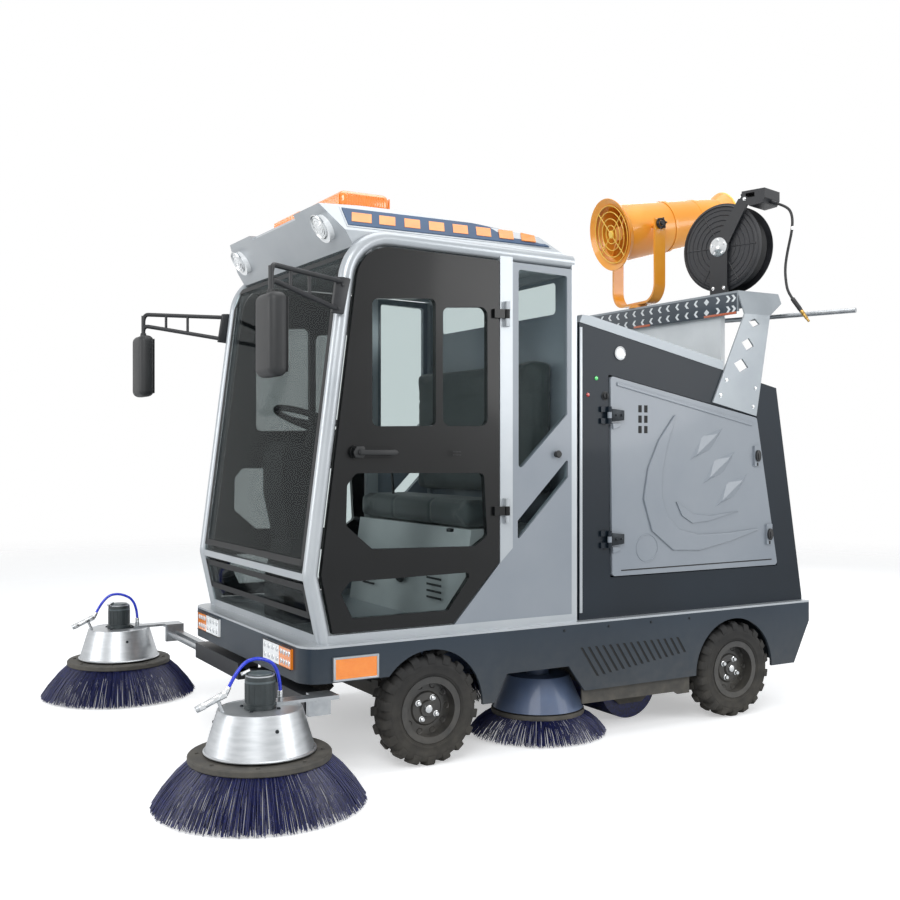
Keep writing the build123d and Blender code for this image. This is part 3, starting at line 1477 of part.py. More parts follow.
def shaft_outline(top, disc_bottom):
    """Half outline of a brush's drive shaft: collar, shaft through the disc and end nut."""
    radius = BRUSH_SHAFT_RADIUS - RUNNING_FIT
    collar = BRUSH_SHAFT_RADIUS + 8
    nut = BRUSH_SHAFT_RADIUS + 10
    return (
        (collar, top),
        (collar, top - 45),
        (radius, top - 45),
        (radius, disc_bottom - 1),
        (nut, disc_bottom - 1),
        (nut, disc_bottom - 9),
        (0, disc_bottom - 9),
    )


def make_hood(side):
    """Bright conical hood with its drive motor on top, open below."""
    y = brush_centre(side)
    wall = 4
    with BuildPart() as hood:
        with BuildSketch(upright_plane(BRUSH_X, y)):
            Polygon(
                (0, HOOD_TOP),
                (HOOD_TOP_RADIUS, HOOD_TOP),
                (HOOD_BOTTOM_RADIUS, HOOD_BOTTOM),
                (HOOD_BOTTOM_RADIUS - wall, HOOD_BOTTOM),
                (HOOD_TOP_RADIUS - wall, HOOD_TOP - wall),
                *shaft_outline(HOOD_TOP - wall, BRISTLE_TOP),
                align=None,
            )
        revolve(axis=Axis((BRUSH_X, y, 0), (0, 0, 1)))
        with Locations((BRUSH_X, y, HOOD_TOP)):
            Cylinder(MOTOR_RADIUS, MOTOR_HEIGHT, align=(Align.CENTER, Align.CENTER, Align.MIN))
        # Spray nozzle on its post, with the elbow that the hose leaves
        start, above = (Vector(*point) for point in brush_hose_route(side)[:2])
        along = (above - start).normalized()
        bar((BRUSH_X + 215, y, HOOD_TOP + 17), (BRUSH_X + 120, y, HOOD_TOP + 57), HOSE_RADIUS + 5)
        bar((BRUSH_X + 125, y, HOOD_TOP - 3), (BRUSH_X + 145, y, HOOD_TOP + 44), HOSE_RADIUS)
        bar(tuple(start - along * 12), tuple(start - along * HOSE_GAP), HOSE_RADIUS + 2)
    save(hood, f"brush_hood_{hand(side)}")


def make_brush(x, y, disc_radius, disc_top, tip_radius, name):
    """Brush head: carrier disc with its bore and the flaring bristle skirt."""
    disc_bottom = disc_top - DISC_THICK
    with BuildPart() as brush:
        with BuildSketch(upright_plane(x, y)):
            Polygon(
                (BRUSH_SHAFT_RADIUS, disc_top),
                (disc_radius - 8, disc_top),
                (disc_radius, disc_top - 6),
                (disc_radius, disc_bottom),
                (tip_radius, TIP_CLEARANCE + 18),
                (tip_radius - 14, TIP_CLEARANCE),
                (tip_radius - 60, TIP_CLEARANCE),
                (disc_radius - 50, disc_bottom),
                (BRUSH_SHAFT_RADIUS, disc_bottom),
                align=None,
            )
        revolve(axis=Axis((x, y, 0), (0, 0, 1)))
    save(brush, name)


def make_mid_hoods():
    """Fixed hoods of the middle brushes, hung from the rails with their motors."""
    wall = 4
    with BuildPart() as hoods:
        for side in (1, -1):
            y = side * MID_Y
            with BuildSketch(upright_plane(MID_X, y)):
                Polygon(
                    (0, MID_HOOD_TOP),
                    (MID_HOOD_TOP_RADIUS, MID_HOOD_TOP),
                    (MID_HOOD_BOTTOM_RADIUS, MID_HOOD_BOTTOM),
                    (MID_HOOD_BOTTOM_RADIUS - wall, MID_HOOD_BOTTOM),
                    (MID_HOOD_TOP_RADIUS - wall, MID_HOOD_TOP - wall),
                    *shaft_outline(MID_HOOD_TOP - wall, MID_HOOD_BOTTOM - 5 - DISC_THICK),
                    align=None,
                )
            revolve(axis=Axis((MID_X, y, 0), (0, 0, 1)))
            with Locations((MID_X, y, MID_HOOD_TOP)):
                Cylinder(MOTOR_RADIUS, RAIL_BOTTOM - MID_HOOD_TOP, align=(Align.CENTER, Align.CENTER, Align.MIN))
            with Locations((MID_X, side * (MID_Y + RAIL_Y - RAIL_WIDTH / 2) / 2, RAIL_BOTTOM)):
                Box(90, MID_Y - RAIL_Y + RAIL_WIDTH / 2 + 60, 12, align=(Align.CENTER, Align.CENTER, Align.MAX))
    save(hoods, "mid_brush_hoods")


def make_roller():
    """Main sweeping roller across the body, between the axles."""
    z = ROLLER_RADIUS + TIP_CLEARANCE
    shaft = ROLLER_HALF + 16
    with BuildPart() as roller:
        with Locations((ROLLER_X, 0, z)):
            Cylinder(ROLLER_RADIUS, 2 * ROLLER_HALF, rotation=(90, 0, 0))
            Cylinder(ROLLER_SHAFT_RADIUS - RUNNING_FIT, 2 * shaft, rotation=(90, 0, 0))
    save(roller, "main_roller")


def main():
    make_chassis()
    make_deck()
    make_skirts()
    make_bumper()
    make_front_axle()
    make_rear_axle()
    make_tie_rod()
    for x, end in ((0, "front"), (-WHEELBASE, "rear")):
        for side in (1, -1):
            make_tyre(x, side, f"{end}_{hand(side)}")
            make_rim(x, side, f"{end}_{hand(side)}")
    make_cab_frame()
    make_cab_panels()
    make_cab_glass()
    make_roof()
    make_light_bar()
    make_lamps()
    make_mirrors()
    make_dashboard()
    make_steering_wheel()
    make_seat()
    make_rear_body()
    make_top_cover()
    make_battery()
    make_platform()
    make_boom()
    make_platform_panel()
    make_yoke()
    make_cannon()
    make_reel()
    make_sleeves()
    make_mid_hoods()
    make_roller()
    make_hose(reel_hose_route(), 130, "reel_hose")
    for side in (1, -1):
        make_knuckle(side)
        make_door(side)
        make_door_glass(side)
        make_hatch(side)
        make_brush_arm(side)
        make_hood(side)
        make_hose(brush_hose_route(side), 0, f"brush_hose_{hand(side)}")
        make_brush(
            BRUSH_X, brush_centre(side), BRUSH_DISC_RADIUS, BRISTLE_TOP + DISC_THICK,
            BRUSH_RADIUS, f"front_brush_{hand(side)}",
        )
        make_brush(
            MID_X, side * MID_Y, MID_HOOD_BOTTOM_RADIUS + 6, MID_HOOD_BOTTOM - 5,
            MID_RADIUS, f"mid_brush_{hand(side)}",
        )


main()
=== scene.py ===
"""Looks of a compact road sweeper: stage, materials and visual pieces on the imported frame.

Frame: +X forward, +Y to the vehicle's left, +Z up, origin on the ground under the front axle.
Helpers take millimetres and scale to metres when a piece is finished.
"""

import math
import random

import bmesh
import bpy
from mathutils import Matrix, Vector
from mathutils.bvhtree import BVHTree


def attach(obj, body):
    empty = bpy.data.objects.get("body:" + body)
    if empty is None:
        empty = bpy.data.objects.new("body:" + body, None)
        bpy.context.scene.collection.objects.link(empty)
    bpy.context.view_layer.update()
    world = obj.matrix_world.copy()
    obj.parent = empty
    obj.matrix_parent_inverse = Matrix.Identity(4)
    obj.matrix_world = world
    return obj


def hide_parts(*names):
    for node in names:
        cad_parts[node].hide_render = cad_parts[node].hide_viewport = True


bl_info = {
    "name": "Road Sweeper Looks",
    "version": (1, 0, 0),
    "blender": (4, 5, 0),
    "location": "View3D > Sidebar > Sweeper",
    "description": "Dresses the packed sweeper with its visual pieces and materials",
    "category": "Object",
}

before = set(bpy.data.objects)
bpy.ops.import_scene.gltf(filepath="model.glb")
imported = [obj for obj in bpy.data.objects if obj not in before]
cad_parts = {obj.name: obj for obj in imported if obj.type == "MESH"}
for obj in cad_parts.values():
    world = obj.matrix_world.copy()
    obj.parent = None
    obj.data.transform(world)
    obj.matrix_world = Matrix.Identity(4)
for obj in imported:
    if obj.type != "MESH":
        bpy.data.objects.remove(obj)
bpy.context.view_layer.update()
MM = 0.001
SIDES = (1, -1)
HAND = {1: "left", -1: "right"}

# Wheels: middle of each axle line along X, and half the track and the axle height, in millimetres
AXLE_LINES = ((0, "front"), (-1510, "rear"))
WHEEL_Y = 589
WHEEL_RADIUS = 205

# Radii in a wheel's disc: of its four bolts and of its ten holes
BOLT_CIRCLE = 44
HOLE_CIRCLE = 86

# Middle of a middle brush along X, and to each side along Y
MID_BRUSH_X = -625
MID_BRUSH_Y = 415

# Camera, from the calibration of the photograph: place in metres and rise in degrees
CAMERA_PLACE = (1.9848, 4.1994, 1.1607)
CAMERA_RISE = -0.03

# Divides a band texture's scale: its bands come about twice the given spacing apart, drawn coarser
# than the real thread or rib so that they show
BAND_DIVISOR = 6.28

# Outward direction of the roof's sloping side, across and up
ROOF_SLOPE = (0.754, 0.657)


# Colour and nodes

def linear(code):
    """sRGB hex to linear RGBA."""
    out = []
    for start in (1, 3, 5):
        value = int(code[start:start + 2], 16) / 255
        out.append(value / 12.92 if value <= 0.04045 else ((value + 0.055) / 1.055) ** 2.4)
    return out + [1.0]


def add_node(tree, kind, inputs=None, **settings):
    """One shader node with its settings, and its inputs as values or links."""
    node = tree.nodes.new("ShaderNode" + kind)
    for key, value in settings.items():
        setattr(node, key, value)
    for key, value in (inputs or {}).items():
        if isinstance(value, bpy.types.NodeSocket):
            tree.links.new(value, node.inputs[key])
        else:
            node.inputs[key].default_value = value
    return node


def blank_material(name):
    """New material with an empty node tree."""
    made = bpy.data.materials.new(name)
    made.use_nodes = True
    made.node_tree.nodes.clear()
    return made, made.node_tree


def surface(name, colour, tint, rough, mottle=60, grain=0.0, depth=0.0, metal=0.0, coat=0.0,
            sheen=0.0, dust=0.0, stretch=(1, 1, 1), level=0.5):
    """Procedural surface: mottled colour, uneven gloss, fine grain and road dust near the ground."""
    made, tree = blank_material(name)
    where = add_node(tree, "TexCoord").outputs["Object"]
    place = add_node(tree, "Mapping", {"Vector": where, "Scale": stretch}).outputs[0]
    patches = add_node(tree, "TexNoise", {"Vector": place, "Scale": 1000 / mottle, "Detail": 4.0}).outputs[0]
    spread = add_node(tree, "MapRange", {"Value": patches, "From Min": 0.35, "From Max": 0.65}).outputs[0]
    mixed = add_node(
        tree, "Mix", {0: spread, 6: linear(colour), 7: linear(tint)}, data_type="RGBA"
    ).outputs[2]
    gloss = add_node(
        tree, "MapRange", {"Value": patches, "To Min": max(rough - 0.06, 0.02), "To Max": rough + 0.1}
    ).outputs[0]
    if dust:
        height = add_node(tree, "SeparateXYZ", {"Vector": where}).outputs[2]
        low = add_node(tree, "MapRange", {"Value": height, "From Min": 0.45, "From Max": 0.02}).outputs[0]
        flecks = add_node(tree, "TexNoise", {"Vector": where, "Scale": 22.0, "Detail": 6.0}).outputs[0]
        veil = add_node(tree, "Math", {0: low, 1: flecks}, operation="MULTIPLY").outputs[0]
        veil = add_node(tree, "Math", {0: veil, 1: dust}, operation="MULTIPLY").outputs[0]
        mixed = add_node(tree, "Mix", {0: veil, 6: mixed, 7: linear("#8d877b")}, data_type="RGBA").outputs[2]
        gloss = add_node(tree, "Math", {0: gloss, 1: veil}, operation="ADD", use_clamp=True).outputs[0]
    inputs = {
        "Base Color": mixed, "Roughness": gloss, "Metallic": metal, "Coat Weight": coat,
        "Coat Roughness": 0.08, "Sheen Weight": sheen, "Specular IOR Level": level,
    }
    if depth:
        fine = add_node(tree, "TexNoise", {"Vector": place, "Scale": 1000 / grain, "Detail": 3.0}).outputs[0]
        inputs["Normal"] = add_node(
            tree, "Bump", {"Height": fine, "Strength": 1.0, "Distance": depth * MM}
        ).outputs[0]
    shader = add_node(tree, "BsdfPrincipled", inputs)
    add_node(tree, "OutputMaterial", {"Surface": shader.outputs[0]})
    return made


def woven(name, colour, tint, thread):
    """Coated upholstery cloth: crossed threads with a soft sheen."""
    made, tree = blank_material(name)
    where = add_node(tree, "TexCoord").outputs["Object"]
    heights = []
    for direction in ("X", "Y", "Z"):
        wave = add_node(
            tree, "TexWave", {"Vector": where, "Scale": 1000 / thread / BAND_DIVISOR, "Distortion": 0.4},
            wave_type="BANDS", bands_direction=direction,
        )
        heights.append(wave.outputs[1])
    weave = add_node(tree, "Math", {0: heights[0], 1: heights[1]}, operation="ADD").outputs[0]
    weave = add_node(tree, "Math", {0: weave, 1: heights[2]}, operation="ADD").outputs[0]
    patches = add_node(tree, "TexNoise", {"Vector": where, "Scale": 14.0, "Detail": 5.0}).outputs[0]
    mixed = add_node(
        tree, "Mix", {0: patches, 6: linear(colour), 7: linear(tint)}, data_type="RGBA"
    ).outputs[2]
    bump = add_node(tree, "Bump", {"Height": weave, "Strength": 0.5, "Distance": 0.3 * MM}).outputs[0]
    shader = add_node(
        tree, "BsdfPrincipled",
        {"Base Color": mixed, "Roughness": 0.55, "Sheen Weight": 0.25, "Normal": bump},
    )
    add_node(tree, "OutputMaterial", {"Surface": shader.outputs[0]})
    return made


def lens(name, colour, tint, rib, glow=0.0):
    """Moulded lens: clear-coated coloured plastic with fine ribs."""
    made, tree = blank_material(name)
    where = add_node(tree, "TexCoord").outputs["Object"]
    ribs = add_node(
        tree, "TexWave", {"Vector": where, "Scale": 1000 / rib / BAND_DIVISOR, "Distortion": 0.0},
        wave_type="BANDS", bands_direction="Z",
    ).outputs[1]
    patches = add_node(tree, "TexNoise", {"Vector": where, "Scale": 45.0}).outputs[0]
    mixed = add_node(
        tree, "Mix", {0: patches, 6: linear(colour), 7: linear(tint)}, data_type="RGBA"
    ).outputs[2]
    bump = add_node(tree, "Bump", {"Height": ribs, "Strength": 0.35, "Distance": 0.5 * MM}).outputs[0]
    shader = add_node(
        tree, "BsdfPrincipled",
        {
            "Base Color": mixed, "Roughness": 0.14, "Normal": bump, "Coat Weight": 1.0,
            "Coat Roughness": 0.03, "Emission Color": linear(colour), "Emission Strength": glow,
        },
    )
    add_node(tree, "OutputMaterial", {"Surface": shader.outputs[0]})
    return made


def pane(name, tint, haze):
    """Window glass: see-through with a mirror-like surface and a faint dusty haze."""
    made, tree = blank_material(name)
    where = add_node(tree, "TexCoord").outputs["Object"]
    patches = add_node(tree, "TexNoise", {"Vector": where, "Scale": 6.0, "Detail": 4.0}).outputs[0]
    rough = add_node(tree, "MapRange", {"Value": patches, "To Min": 0.005, "To Max": 0.02}).outputs[0]
    gloss = add_node(
        tree, "BsdfPrincipled", {"Base Color": linear("#0b0e10"), "Roughness": rough, "Coat Weight": 0.5}
    ).outputs[0]
    clear = add_node(tree, "BsdfTransparent", {"Color": linear(tint)}).outputs[0]
    edge = add_node(tree, "LayerWeight", {"Blend": 0.08}).outputs[0]
    share = add_node(tree, "MapRange", {"Value": edge, "To Min": haze, "To Max": 0.75}).outputs[0]
    both = add_node(tree, "MixShader", {0: share, 1: clear, 2: gloss}).outputs[0]
    add_node(tree, "OutputMaterial", {"Surface": both})
    return made


MATERIALS = {}


def make_materials():
    """The vehicle's finishes, each named for what it is on the real machine, except one named for the painted
    shade on the flange.
    """
    spec = {
        # Enamelled sheet steel, sprayed: dark slate with a soft gloss, and road dust low down
        "slate_paint": dict(colour="#232e39", tint="#29343f", rough=0.42, mottle=400, grain=1.6,
                            depth=0.05, coat=0.1, dust=0.35, level=0.3),
        # Enamelled sheet steel, sprayed: near-black blue with a broad dull highlight
        "body_paint": dict(colour="#101a23", tint="#141f29", rough=0.42, mottle=500, grain=1.8,
                           depth=0.06, coat=0.08, level=0.25),
        # Enamelled sheet steel, sprayed: even mid grey under a thin gloss
        "grey_paint": dict(colour="#7e868f", tint="#878e96", rough=0.38, mottle=450, grain=1.8,
                           depth=0.06, coat=0.25),
        # Enamelled sheet steel, smooth: deep black with a clean highlight
        "door_black": dict(colour="#07090a", tint="#0b0d0f", rough=0.3, mottle=300, grain=2.0,
                           depth=0.03, coat=0.15, level=0.25),
        # Metallic enamel on steel tube: pale silver with a bright line along each bend
        "silver_paint": dict(colour="#a9afb4", tint="#b2b7bb", rough=0.3, mottle=250, grain=0.9,
                             depth=0.02, metal=0.35, coat=0.15),
        # Sprayed enamel band: flat dark blue behind the orange marks
        "roof_blue": dict(colour="#1b3f63", tint="#224a70", rough=0.4, mottle=200, coat=0.1, level=0.3),
        # Enamel marks, sprayed: even bright orange with a slight gloss
        "stripe_orange": dict(colour="#ee8a2f", tint="#f29a45", rough=0.32, mottle=80, coat=0.3),
        # Powder-coated sheet steel: warm orange with a faint uneven skin
        "cannon_orange": dict(colour="#ee9a2b", tint="#f3a83c", rough=0.33, mottle=160, grain=1.5,
                              depth=0.05, coat=0.4),
        # Powder-coated rims and wire: clear yellow, lighter than the barrel
        "flare_yellow": dict(colour="#f4c53e", tint="#f6cf56", rough=0.33, mottle=120, coat=0.35),
        # Painted rough steel: dull black under grey dust
        "chassis_black": dict(colour="#15171a", tint="#1d2023", rough=0.5, mottle=90, grain=2.2,
                              depth=0.12, dust=0.7),
        # Enamelled pressed steel: satin black, dusty low down
        "rim_black": dict(colour="#121416", tint="#1b1d20", rough=0.32, mottle=70, coat=0.3, dust=0.4),
        # Powder-coated tube and plate: fine-grained satin black
        "frame_black": dict(colour="#191b1e", tint="#212327", rough=0.42, mottle=90, grain=1.5, depth=0.05),
        # Metallic enamel on steel plate: pale grey with a faint sheen
        "platform_grey": dict(colour="#8f969c", tint="#9aa1a6", rough=0.4, mottle=260, grain=1.6, depth=0.04,
                              metal=0.3, coat=0.2),
        # Enamelled flange in painted shade: darker slate than the platform, standing for the shadow on its
        # forward face, that sets off the pale arrows
        "flange_painted_shade": dict(colour="#39424b", tint="#414a53", rough=0.38, mottle=120, coat=0.2),
        # Enamelled steel shell: pale warm grey, nearly matt
        "seat_shell": dict(colour="#b3b7b8", tint="#bdc0c1", rough=0.45, mottle=160),
        # Stainless steel, brushed: a soft bright highlight with fine level streaks
        "brushed_steel": dict(colour="#b4b8bb", tint="#c0c3c6", rough=0.34, mottle=60, grain=3.0, depth=0.012,
                              metal=0.85, stretch=(1, 1, 6)),
        # Steel bar, machined: bright grey with a tight highlight
        "machined_steel": dict(colour="#a8acb0", tint="#b6babd", rough=0.3, mottle=30, grain=1.0, depth=0.04,
                               metal=0.95),
        # Zinc-plated steel, turned: small sharp highlights
        "bright_bolt": dict(colour="#cfd2d4", tint="#dfe1e2", rough=0.18, mottle=20, metal=1.0),
        # Blackened steel: dark, with a dull glint on its edges
        "dark_bolt": dict(colour="#24282c", tint="#2e3337", rough=0.4, mottle=20, metal=0.7),
        # Brass, turned: a small yellow glint
        "brass": dict(colour="#b08d4a", tint="#bd9a58", rough=0.28, mottle=25, metal=0.95),
        # ABS, moulded with a fine grain: even black with a broken highlight
        "moulded_black": dict(colour="#17191b", tint="#1e2022", rough=0.5, mottle=60, grain=1.4, depth=0.12),
        # Polypropylene, moulded: charcoal with a soft wide highlight
        "reel_plastic": dict(colour="#232427", tint="#2b2c30", rough=0.45, mottle=70, grain=2.0, depth=0.1),
        # Cast aluminium, painted: green-black satin
        "motor_black": dict(colour="#262d2f", tint="#30383a", rough=0.4, mottle=40, grain=1.5, depth=0.06),
        # ABS, moulded smooth: lighter grey-green than the housing
        "motor_cap": dict(colour="#4b5558", tint="#566063", rough=0.36, mottle=40),
        # Enamelled sheet steel: slate blue, dusty low down
        "hood_slate_blue": dict(colour="#46597a", tint="#4f6384", rough=0.4, mottle=120, grain=1.6,
                                depth=0.05, coat=0.2, dust=0.3),
        # Rubber, moulded: matt black, slightly pitted, dusty near the ground
        "tyre_rubber": dict(colour="#17181a", tint="#1f2022", rough=0.72, mottle=45, grain=2.4, depth=0.22,
                            dust=0.35, level=0.35),
        # Rubber, extruded: satin black
        "hose_black": dict(colour="#151618", tint="#1c1d1f", rough=0.48, mottle=30, grain=1.5, depth=0.06),
        # Polyurethane, extruded: saturated blue with a narrow gloss
        "hose_blue": dict(colour="#0b2bc4", tint="#1437d2", rough=0.26, mottle=30, coat=0.4),
        # Nylon, drawn: blue-black that changes from tuft to tuft
        "bristle_nylon": dict(colour="#10142c", tint="#1a2260", rough=0.45, mottle=7, level=0.6),
        # Rubber, extruded: a dull black line round a pane
        "seal_rubber": dict(colour="#101214", tint="#17191b", rough=0.6, mottle=40, grain=1.5, depth=0.06),
        # An opening in shadow: almost black and quite matt
        "vent_dark": dict(colour="#07090b", tint="#0b0d0f", rough=0.7, mottle=30),
        # Acrylic sheet, frosted: pale and even with a soft gloss
        "pale_screen": dict(colour="#dfe4e6", tint="#e9edef", rough=0.35, mottle=200),
        # Retroreflective tape: blotched red-brown under a clear gloss
        "reflective_tape": dict(colour="#b5532a", tint="#c4633a", rough=0.3, mottle=9, coat=0.6),
        # Metallised plastic, faceted: a broken bright glitter
        "lamp_reflector": dict(colour="#d8dcdf", tint="#e6e9eb", rough=0.12, mottle=12, grain=3.0, depth=0.4,
                               metal=0.85),
        # Silvered glass: a sharp reflection
        "mirror_silver": dict(colour="#e8ecee", tint="#eef1f2", rough=0.04, mottle=200, metal=1.0),
        # Polypropylene, moulded: plain charcoal
        "battery_case": dict(colour="#2b2e31", tint="#34373a", rough=0.5, mottle=60),
    }
    for name, values in spec.items():
        MATERIALS[name] = surface(name, **values)
    # Coated polyester cloth, woven: dull green-grey with a visible thread
    MATERIALS["seat_cloth"] = woven("seat_cloth", "#33393a", "#3d4445", 2.4)
    # Polycarbonate lenses, moulded with ribs: clean colour under a clear gloss
    MATERIALS["amber_lens"] = lens("amber_lens", "#e2750f", "#ef8f2c", 5.0, 0.15)
    MATERIALS["red_lens"] = lens("red_lens", "#a3150f", "#b82018", 5.0, 0.05)
    MATERIALS["green_lens"] = lens("green_lens", "#2fae4e", "#46c765", 3.0, 0.4)
    MATERIALS["clear_lens"] = lens("clear_lens", "#dfe3e5", "#f0f2f3", 6.0, 0.1)
    # Tempered glass, flat: clear from the front and mirror-like at a slant
    MATERIALS["window_glass"] = pane("window_glass", "#eef2f2", 0.01)


NODE_FINISH = {
    "amber_lamps": "amber_lens", "arm_sleeves": "frame_black", "battery_block": "battery_case",
    "brush_arm_left": "machined_steel", "brush_arm_right": "machined_steel",
    "brush_hood_left": "brushed_steel", "brush_hood_right": "brushed_steel",
    "cab_frame": "silver_paint", "cab_glass": "window_glass", "cab_panels": "grey_paint",
    "cannon_barrel": "cannon_orange", "cannon_yoke": "cannon_orange", "chassis_frame": "chassis_black",
    "dashboard": "moulded_black", "deck": "silver_paint", "door_glass_left": "window_glass",
    "door_glass_right": "window_glass", "door_left": "door_black", "door_right": "door_black",
    "front_axle": "chassis_black", "front_bumper": "slate_paint", "hatch_left": "grey_paint",
    "hatch_right": "grey_paint", "knuckle_left": "chassis_black", "knuckle_right": "chassis_black",
    "light_bar": "amber_lens", "main_roller": "bristle_nylon", "mid_brush_hoods": "hood_slate_blue",
    "mirrors": "moulded_black", "platform": "platform_grey", "platform_panel": "pale_screen",
    "rear_axle": "chassis_black", "rear_body": "body_paint", "reel_drum": "reel_plastic",
    "reel_stand": "frame_black", "rim_front_left": "rim_black", "rim_front_right": "rim_black",
    "rim_rear_left": "rim_black", "rim_rear_right": "rim_black", "roof_fairing": "silver_paint",
    "seat_base": "seat_shell", "skirts": "slate_paint", "steering_wheel": "moulded_black",
    "support_boom": "machined_steel", "tail_lamps": "red_lens", "tie_rod": "machined_steel",
    "top_cover": "platform_grey", "white_lamps": "clear_lens",
}


# Mesh helpers, in millimetres

def finish_piece(name, bm, material, body, angle=32):
    """Turn the mesh into an object in metres at the origin that rides its body."""
    bmesh.ops.scale(bm, vec=(MM, MM, MM), verts=bm.verts[:])
    bmesh.ops.recalc_face_normals(bm, faces=bm.faces[:])
    mesh = bpy.data.meshes.new(name)
    bm.to_mesh(mesh)
    bm.free()
    mesh.shade_smooth()
    mesh.set_sharp_from_angle(angle=math.radians(angle))
    mesh.materials.append(MATERIALS[material])
    made = bpy.data.objects.new(name, mesh)
    bpy.context.scene.collection.objects.link(made)
    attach(made, body)
    return made


def round_off(bm, verts, width, steps=2):
    """Bevel every edge between the given vertices."""
    if not width:
        return
    chosen = set(verts)
    edges = [edge for edge in bm.edges if edge.verts[0] in chosen and edge.verts[1] in chosen]
    sharp = [edge for edge in edges if len(edge.link_faces) == 2 and edge.calc_face_angle(0) > 0.3]
    bmesh.ops.bevel(
        bm, geom=sharp, offset=width, segments=steps, profile=0.5, affect="EDGES",
        clamp_overlap=True, material=-1,
    )


def add_prism(bm, points, thick, bevel=0.0, steps=2):
    """Closed outline thickened along a vector."""
    verts = [bm.verts.new(point) for point in points]
    face = bm.faces.new(verts)
    grown = bmesh.ops.extrude_face_region(bm, geom=[face])["geom"]
    moved = [item for item in grown if isinstance(item, bmesh.types.BMVert)]
    bmesh.ops.translate(bm, verts=moved, vec=thick)
    faces = {face for vert in verts + moved for face in vert.link_faces}
    bmesh.ops.recalc_face_normals(bm, faces=list(faces))
    round_off(bm, verts + moved, bevel, steps)


def add_box(bm, low, high, bevel=0.0, steps=2):
    """Box between two corners with rounded edges."""
    low, high = Vector(low), Vector(high)
    place = Matrix.Translation((low + high) / 2) @ Matrix.Diagonal((*(high - low), 1))
    made = bmesh.ops.create_cube(bm, size=1, matrix=place)["verts"]
    round_off(bm, made, bevel, steps)


def add_hull(bm, points):
    """Closed solid around a few points."""
    verts = [bm.verts.new(point) for point in points]
    bmesh.ops.convex_hull(bm, input=verts)


def along(start, end):
    """Placement of an upright shape on the line between two points, and the line's length."""
    start, end = Vector(start), Vector(end)
    turn = (end - start).to_track_quat("Z", "Y").to_matrix().to_4x4()
    return Matrix.Translation((start + end) / 2) @ turn, (end - start).length


def heading(yaw, rise):
    """Unit vector from its heading and its rise, in degrees."""
    yaw, rise = math.radians(yaw), math.radians(rise)
    return Vector((math.cos(yaw) * math.cos(rise), math.sin(yaw) * math.cos(rise), math.sin(rise)))


def angles(count, shift=0.0):
    """Evenly spaced angles of a full turn, shifted by a share of a step."""
    return [math.tau * (step + shift) / count for step in range(count)]


def rectangle(left, low, right, high):
    """Corners of an upright rectangle."""
    return [(left, low), (right, low), (right, high), (left, high)]


def add_rod(bm, start, end, radius, tip=None, sides=28, bevel=0.0):
    """Round or many-sided bar between two points, tapered where a tip radius is given."""
    place, length = along(start, end)
    made = bmesh.ops.create_cone(
        bm, cap_ends=True, segments=sides, radius1=radius,
        radius2=radius if tip is None else tip, depth=length, matrix=place,
    )["verts"]
    round_off(bm, made, bevel)


def add_bolt(bm, point, normal, size, height=None):
    """Hexagon head on its washer."""
    point, normal = Vector(point), Vector(normal).normalized()
    tall = height or size * 0.7
    add_rod(bm, point - normal, point + normal * tall * 0.25, size * 1.25, sides=20)
    add_rod(bm, point, point + normal * tall, size, sides=6, bevel=size * 0.12)


def add_turned(bm, profile, centre, axis, steps=72, closed=True):
    """Profile of (radius, distance along the axis) pairs turned about an axis."""
    centre, axis = Vector(centre), Vector(axis).normalized()
    out = axis.orthogonal().normalized()
    verts = [bm.verts.new(centre + out * radius + axis * reach) for radius, reach in profile]
    pairs = list(zip(verts, verts[1:])) + ([(verts[-1], verts[0])] if closed else [])
    edges = [bm.edges.new(pair) for pair in pairs]
    bmesh.ops.spin(
        bm, geom=verts + edges, cent=centre, axis=axis, angle=math.tau, steps=steps, use_merge=True
    )
    bmesh.ops.remove_doubles(bm, verts=bm.verts[:], dist=0.01)
    bmesh.ops.dissolve_degenerate(bm, edges=bm.edges[:], dist=0.005)


def add_wires(bm, routes, radius, cyclic=False, smooth=False, sides=1):
    """Round wires along routes of points, added as meshes."""
    curve = bpy.data.curves.new("wires", "CURVE")
    curve.dimensions = "3D"
    curve.bevel_depth = radius
    curve.bevel_resolution = sides
    curve.use_fill_caps = True
    for route in routes:
        spline = curve.splines.new("NURBS" if smooth else "POLY")
        spline.points.add(len(route) - 1)
        for control, point in zip(spline.points, route):
            control.co = (*point, 1)
        if smooth:
            spline.order_u = 3
            spline.use_endpoint_u = not cyclic
            spline.resolution_u = 6
        spline.use_cyclic_u = cyclic
    holder = bpy.data.objects.new("wires", curve)
    made = bpy.data.meshes.new_from_object(holder)
    bm.from_mesh(made)
    bpy.data.objects.remove(holder)
    bpy.data.meshes.remove(made)
    bpy.data.curves.remove(curve)


TREES = {}


def touch(node, start, direction):
    """Point where a line from start meets a node's surface, or an error where it misses."""
    if node not in TREES:
        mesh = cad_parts[node].data
        TREES[node] = BVHTree.FromPolygons(
            [vert.co for vert in mesh.vertices], [face.vertices[:] for face in mesh.polygons]
        )
    hit = TREES[node].ray_cast(Vector(start) * MM, Vector(direction))[0]
    if hit is None:
        raise RuntimeError(f"{node} isn't met from {tuple(start)}")
    return hit / MM


def on_side(node, side, x, z, lift=0.0):
    """Point on the outer face of a side panel."""
    point = touch(node, (x, side * 900, z), (0, -side, 0))
    return Vector((x, point.y + side * lift, z))


def side_prism(bm, node, side, outline, height, bevel=0.0, sink=1.0):
    """Raised plate on a side panel from an (x, z) outline, seated where its middle meets it."""
    middle = [sum(values) / len(outline) for values in zip(*outline)]
    y = on_side(node, side, *middle).y - side * sink
    add_prism(bm, [(x, y, z) for x, z in outline], (0, side * (height + sink), 0), bevel)


# Pieces

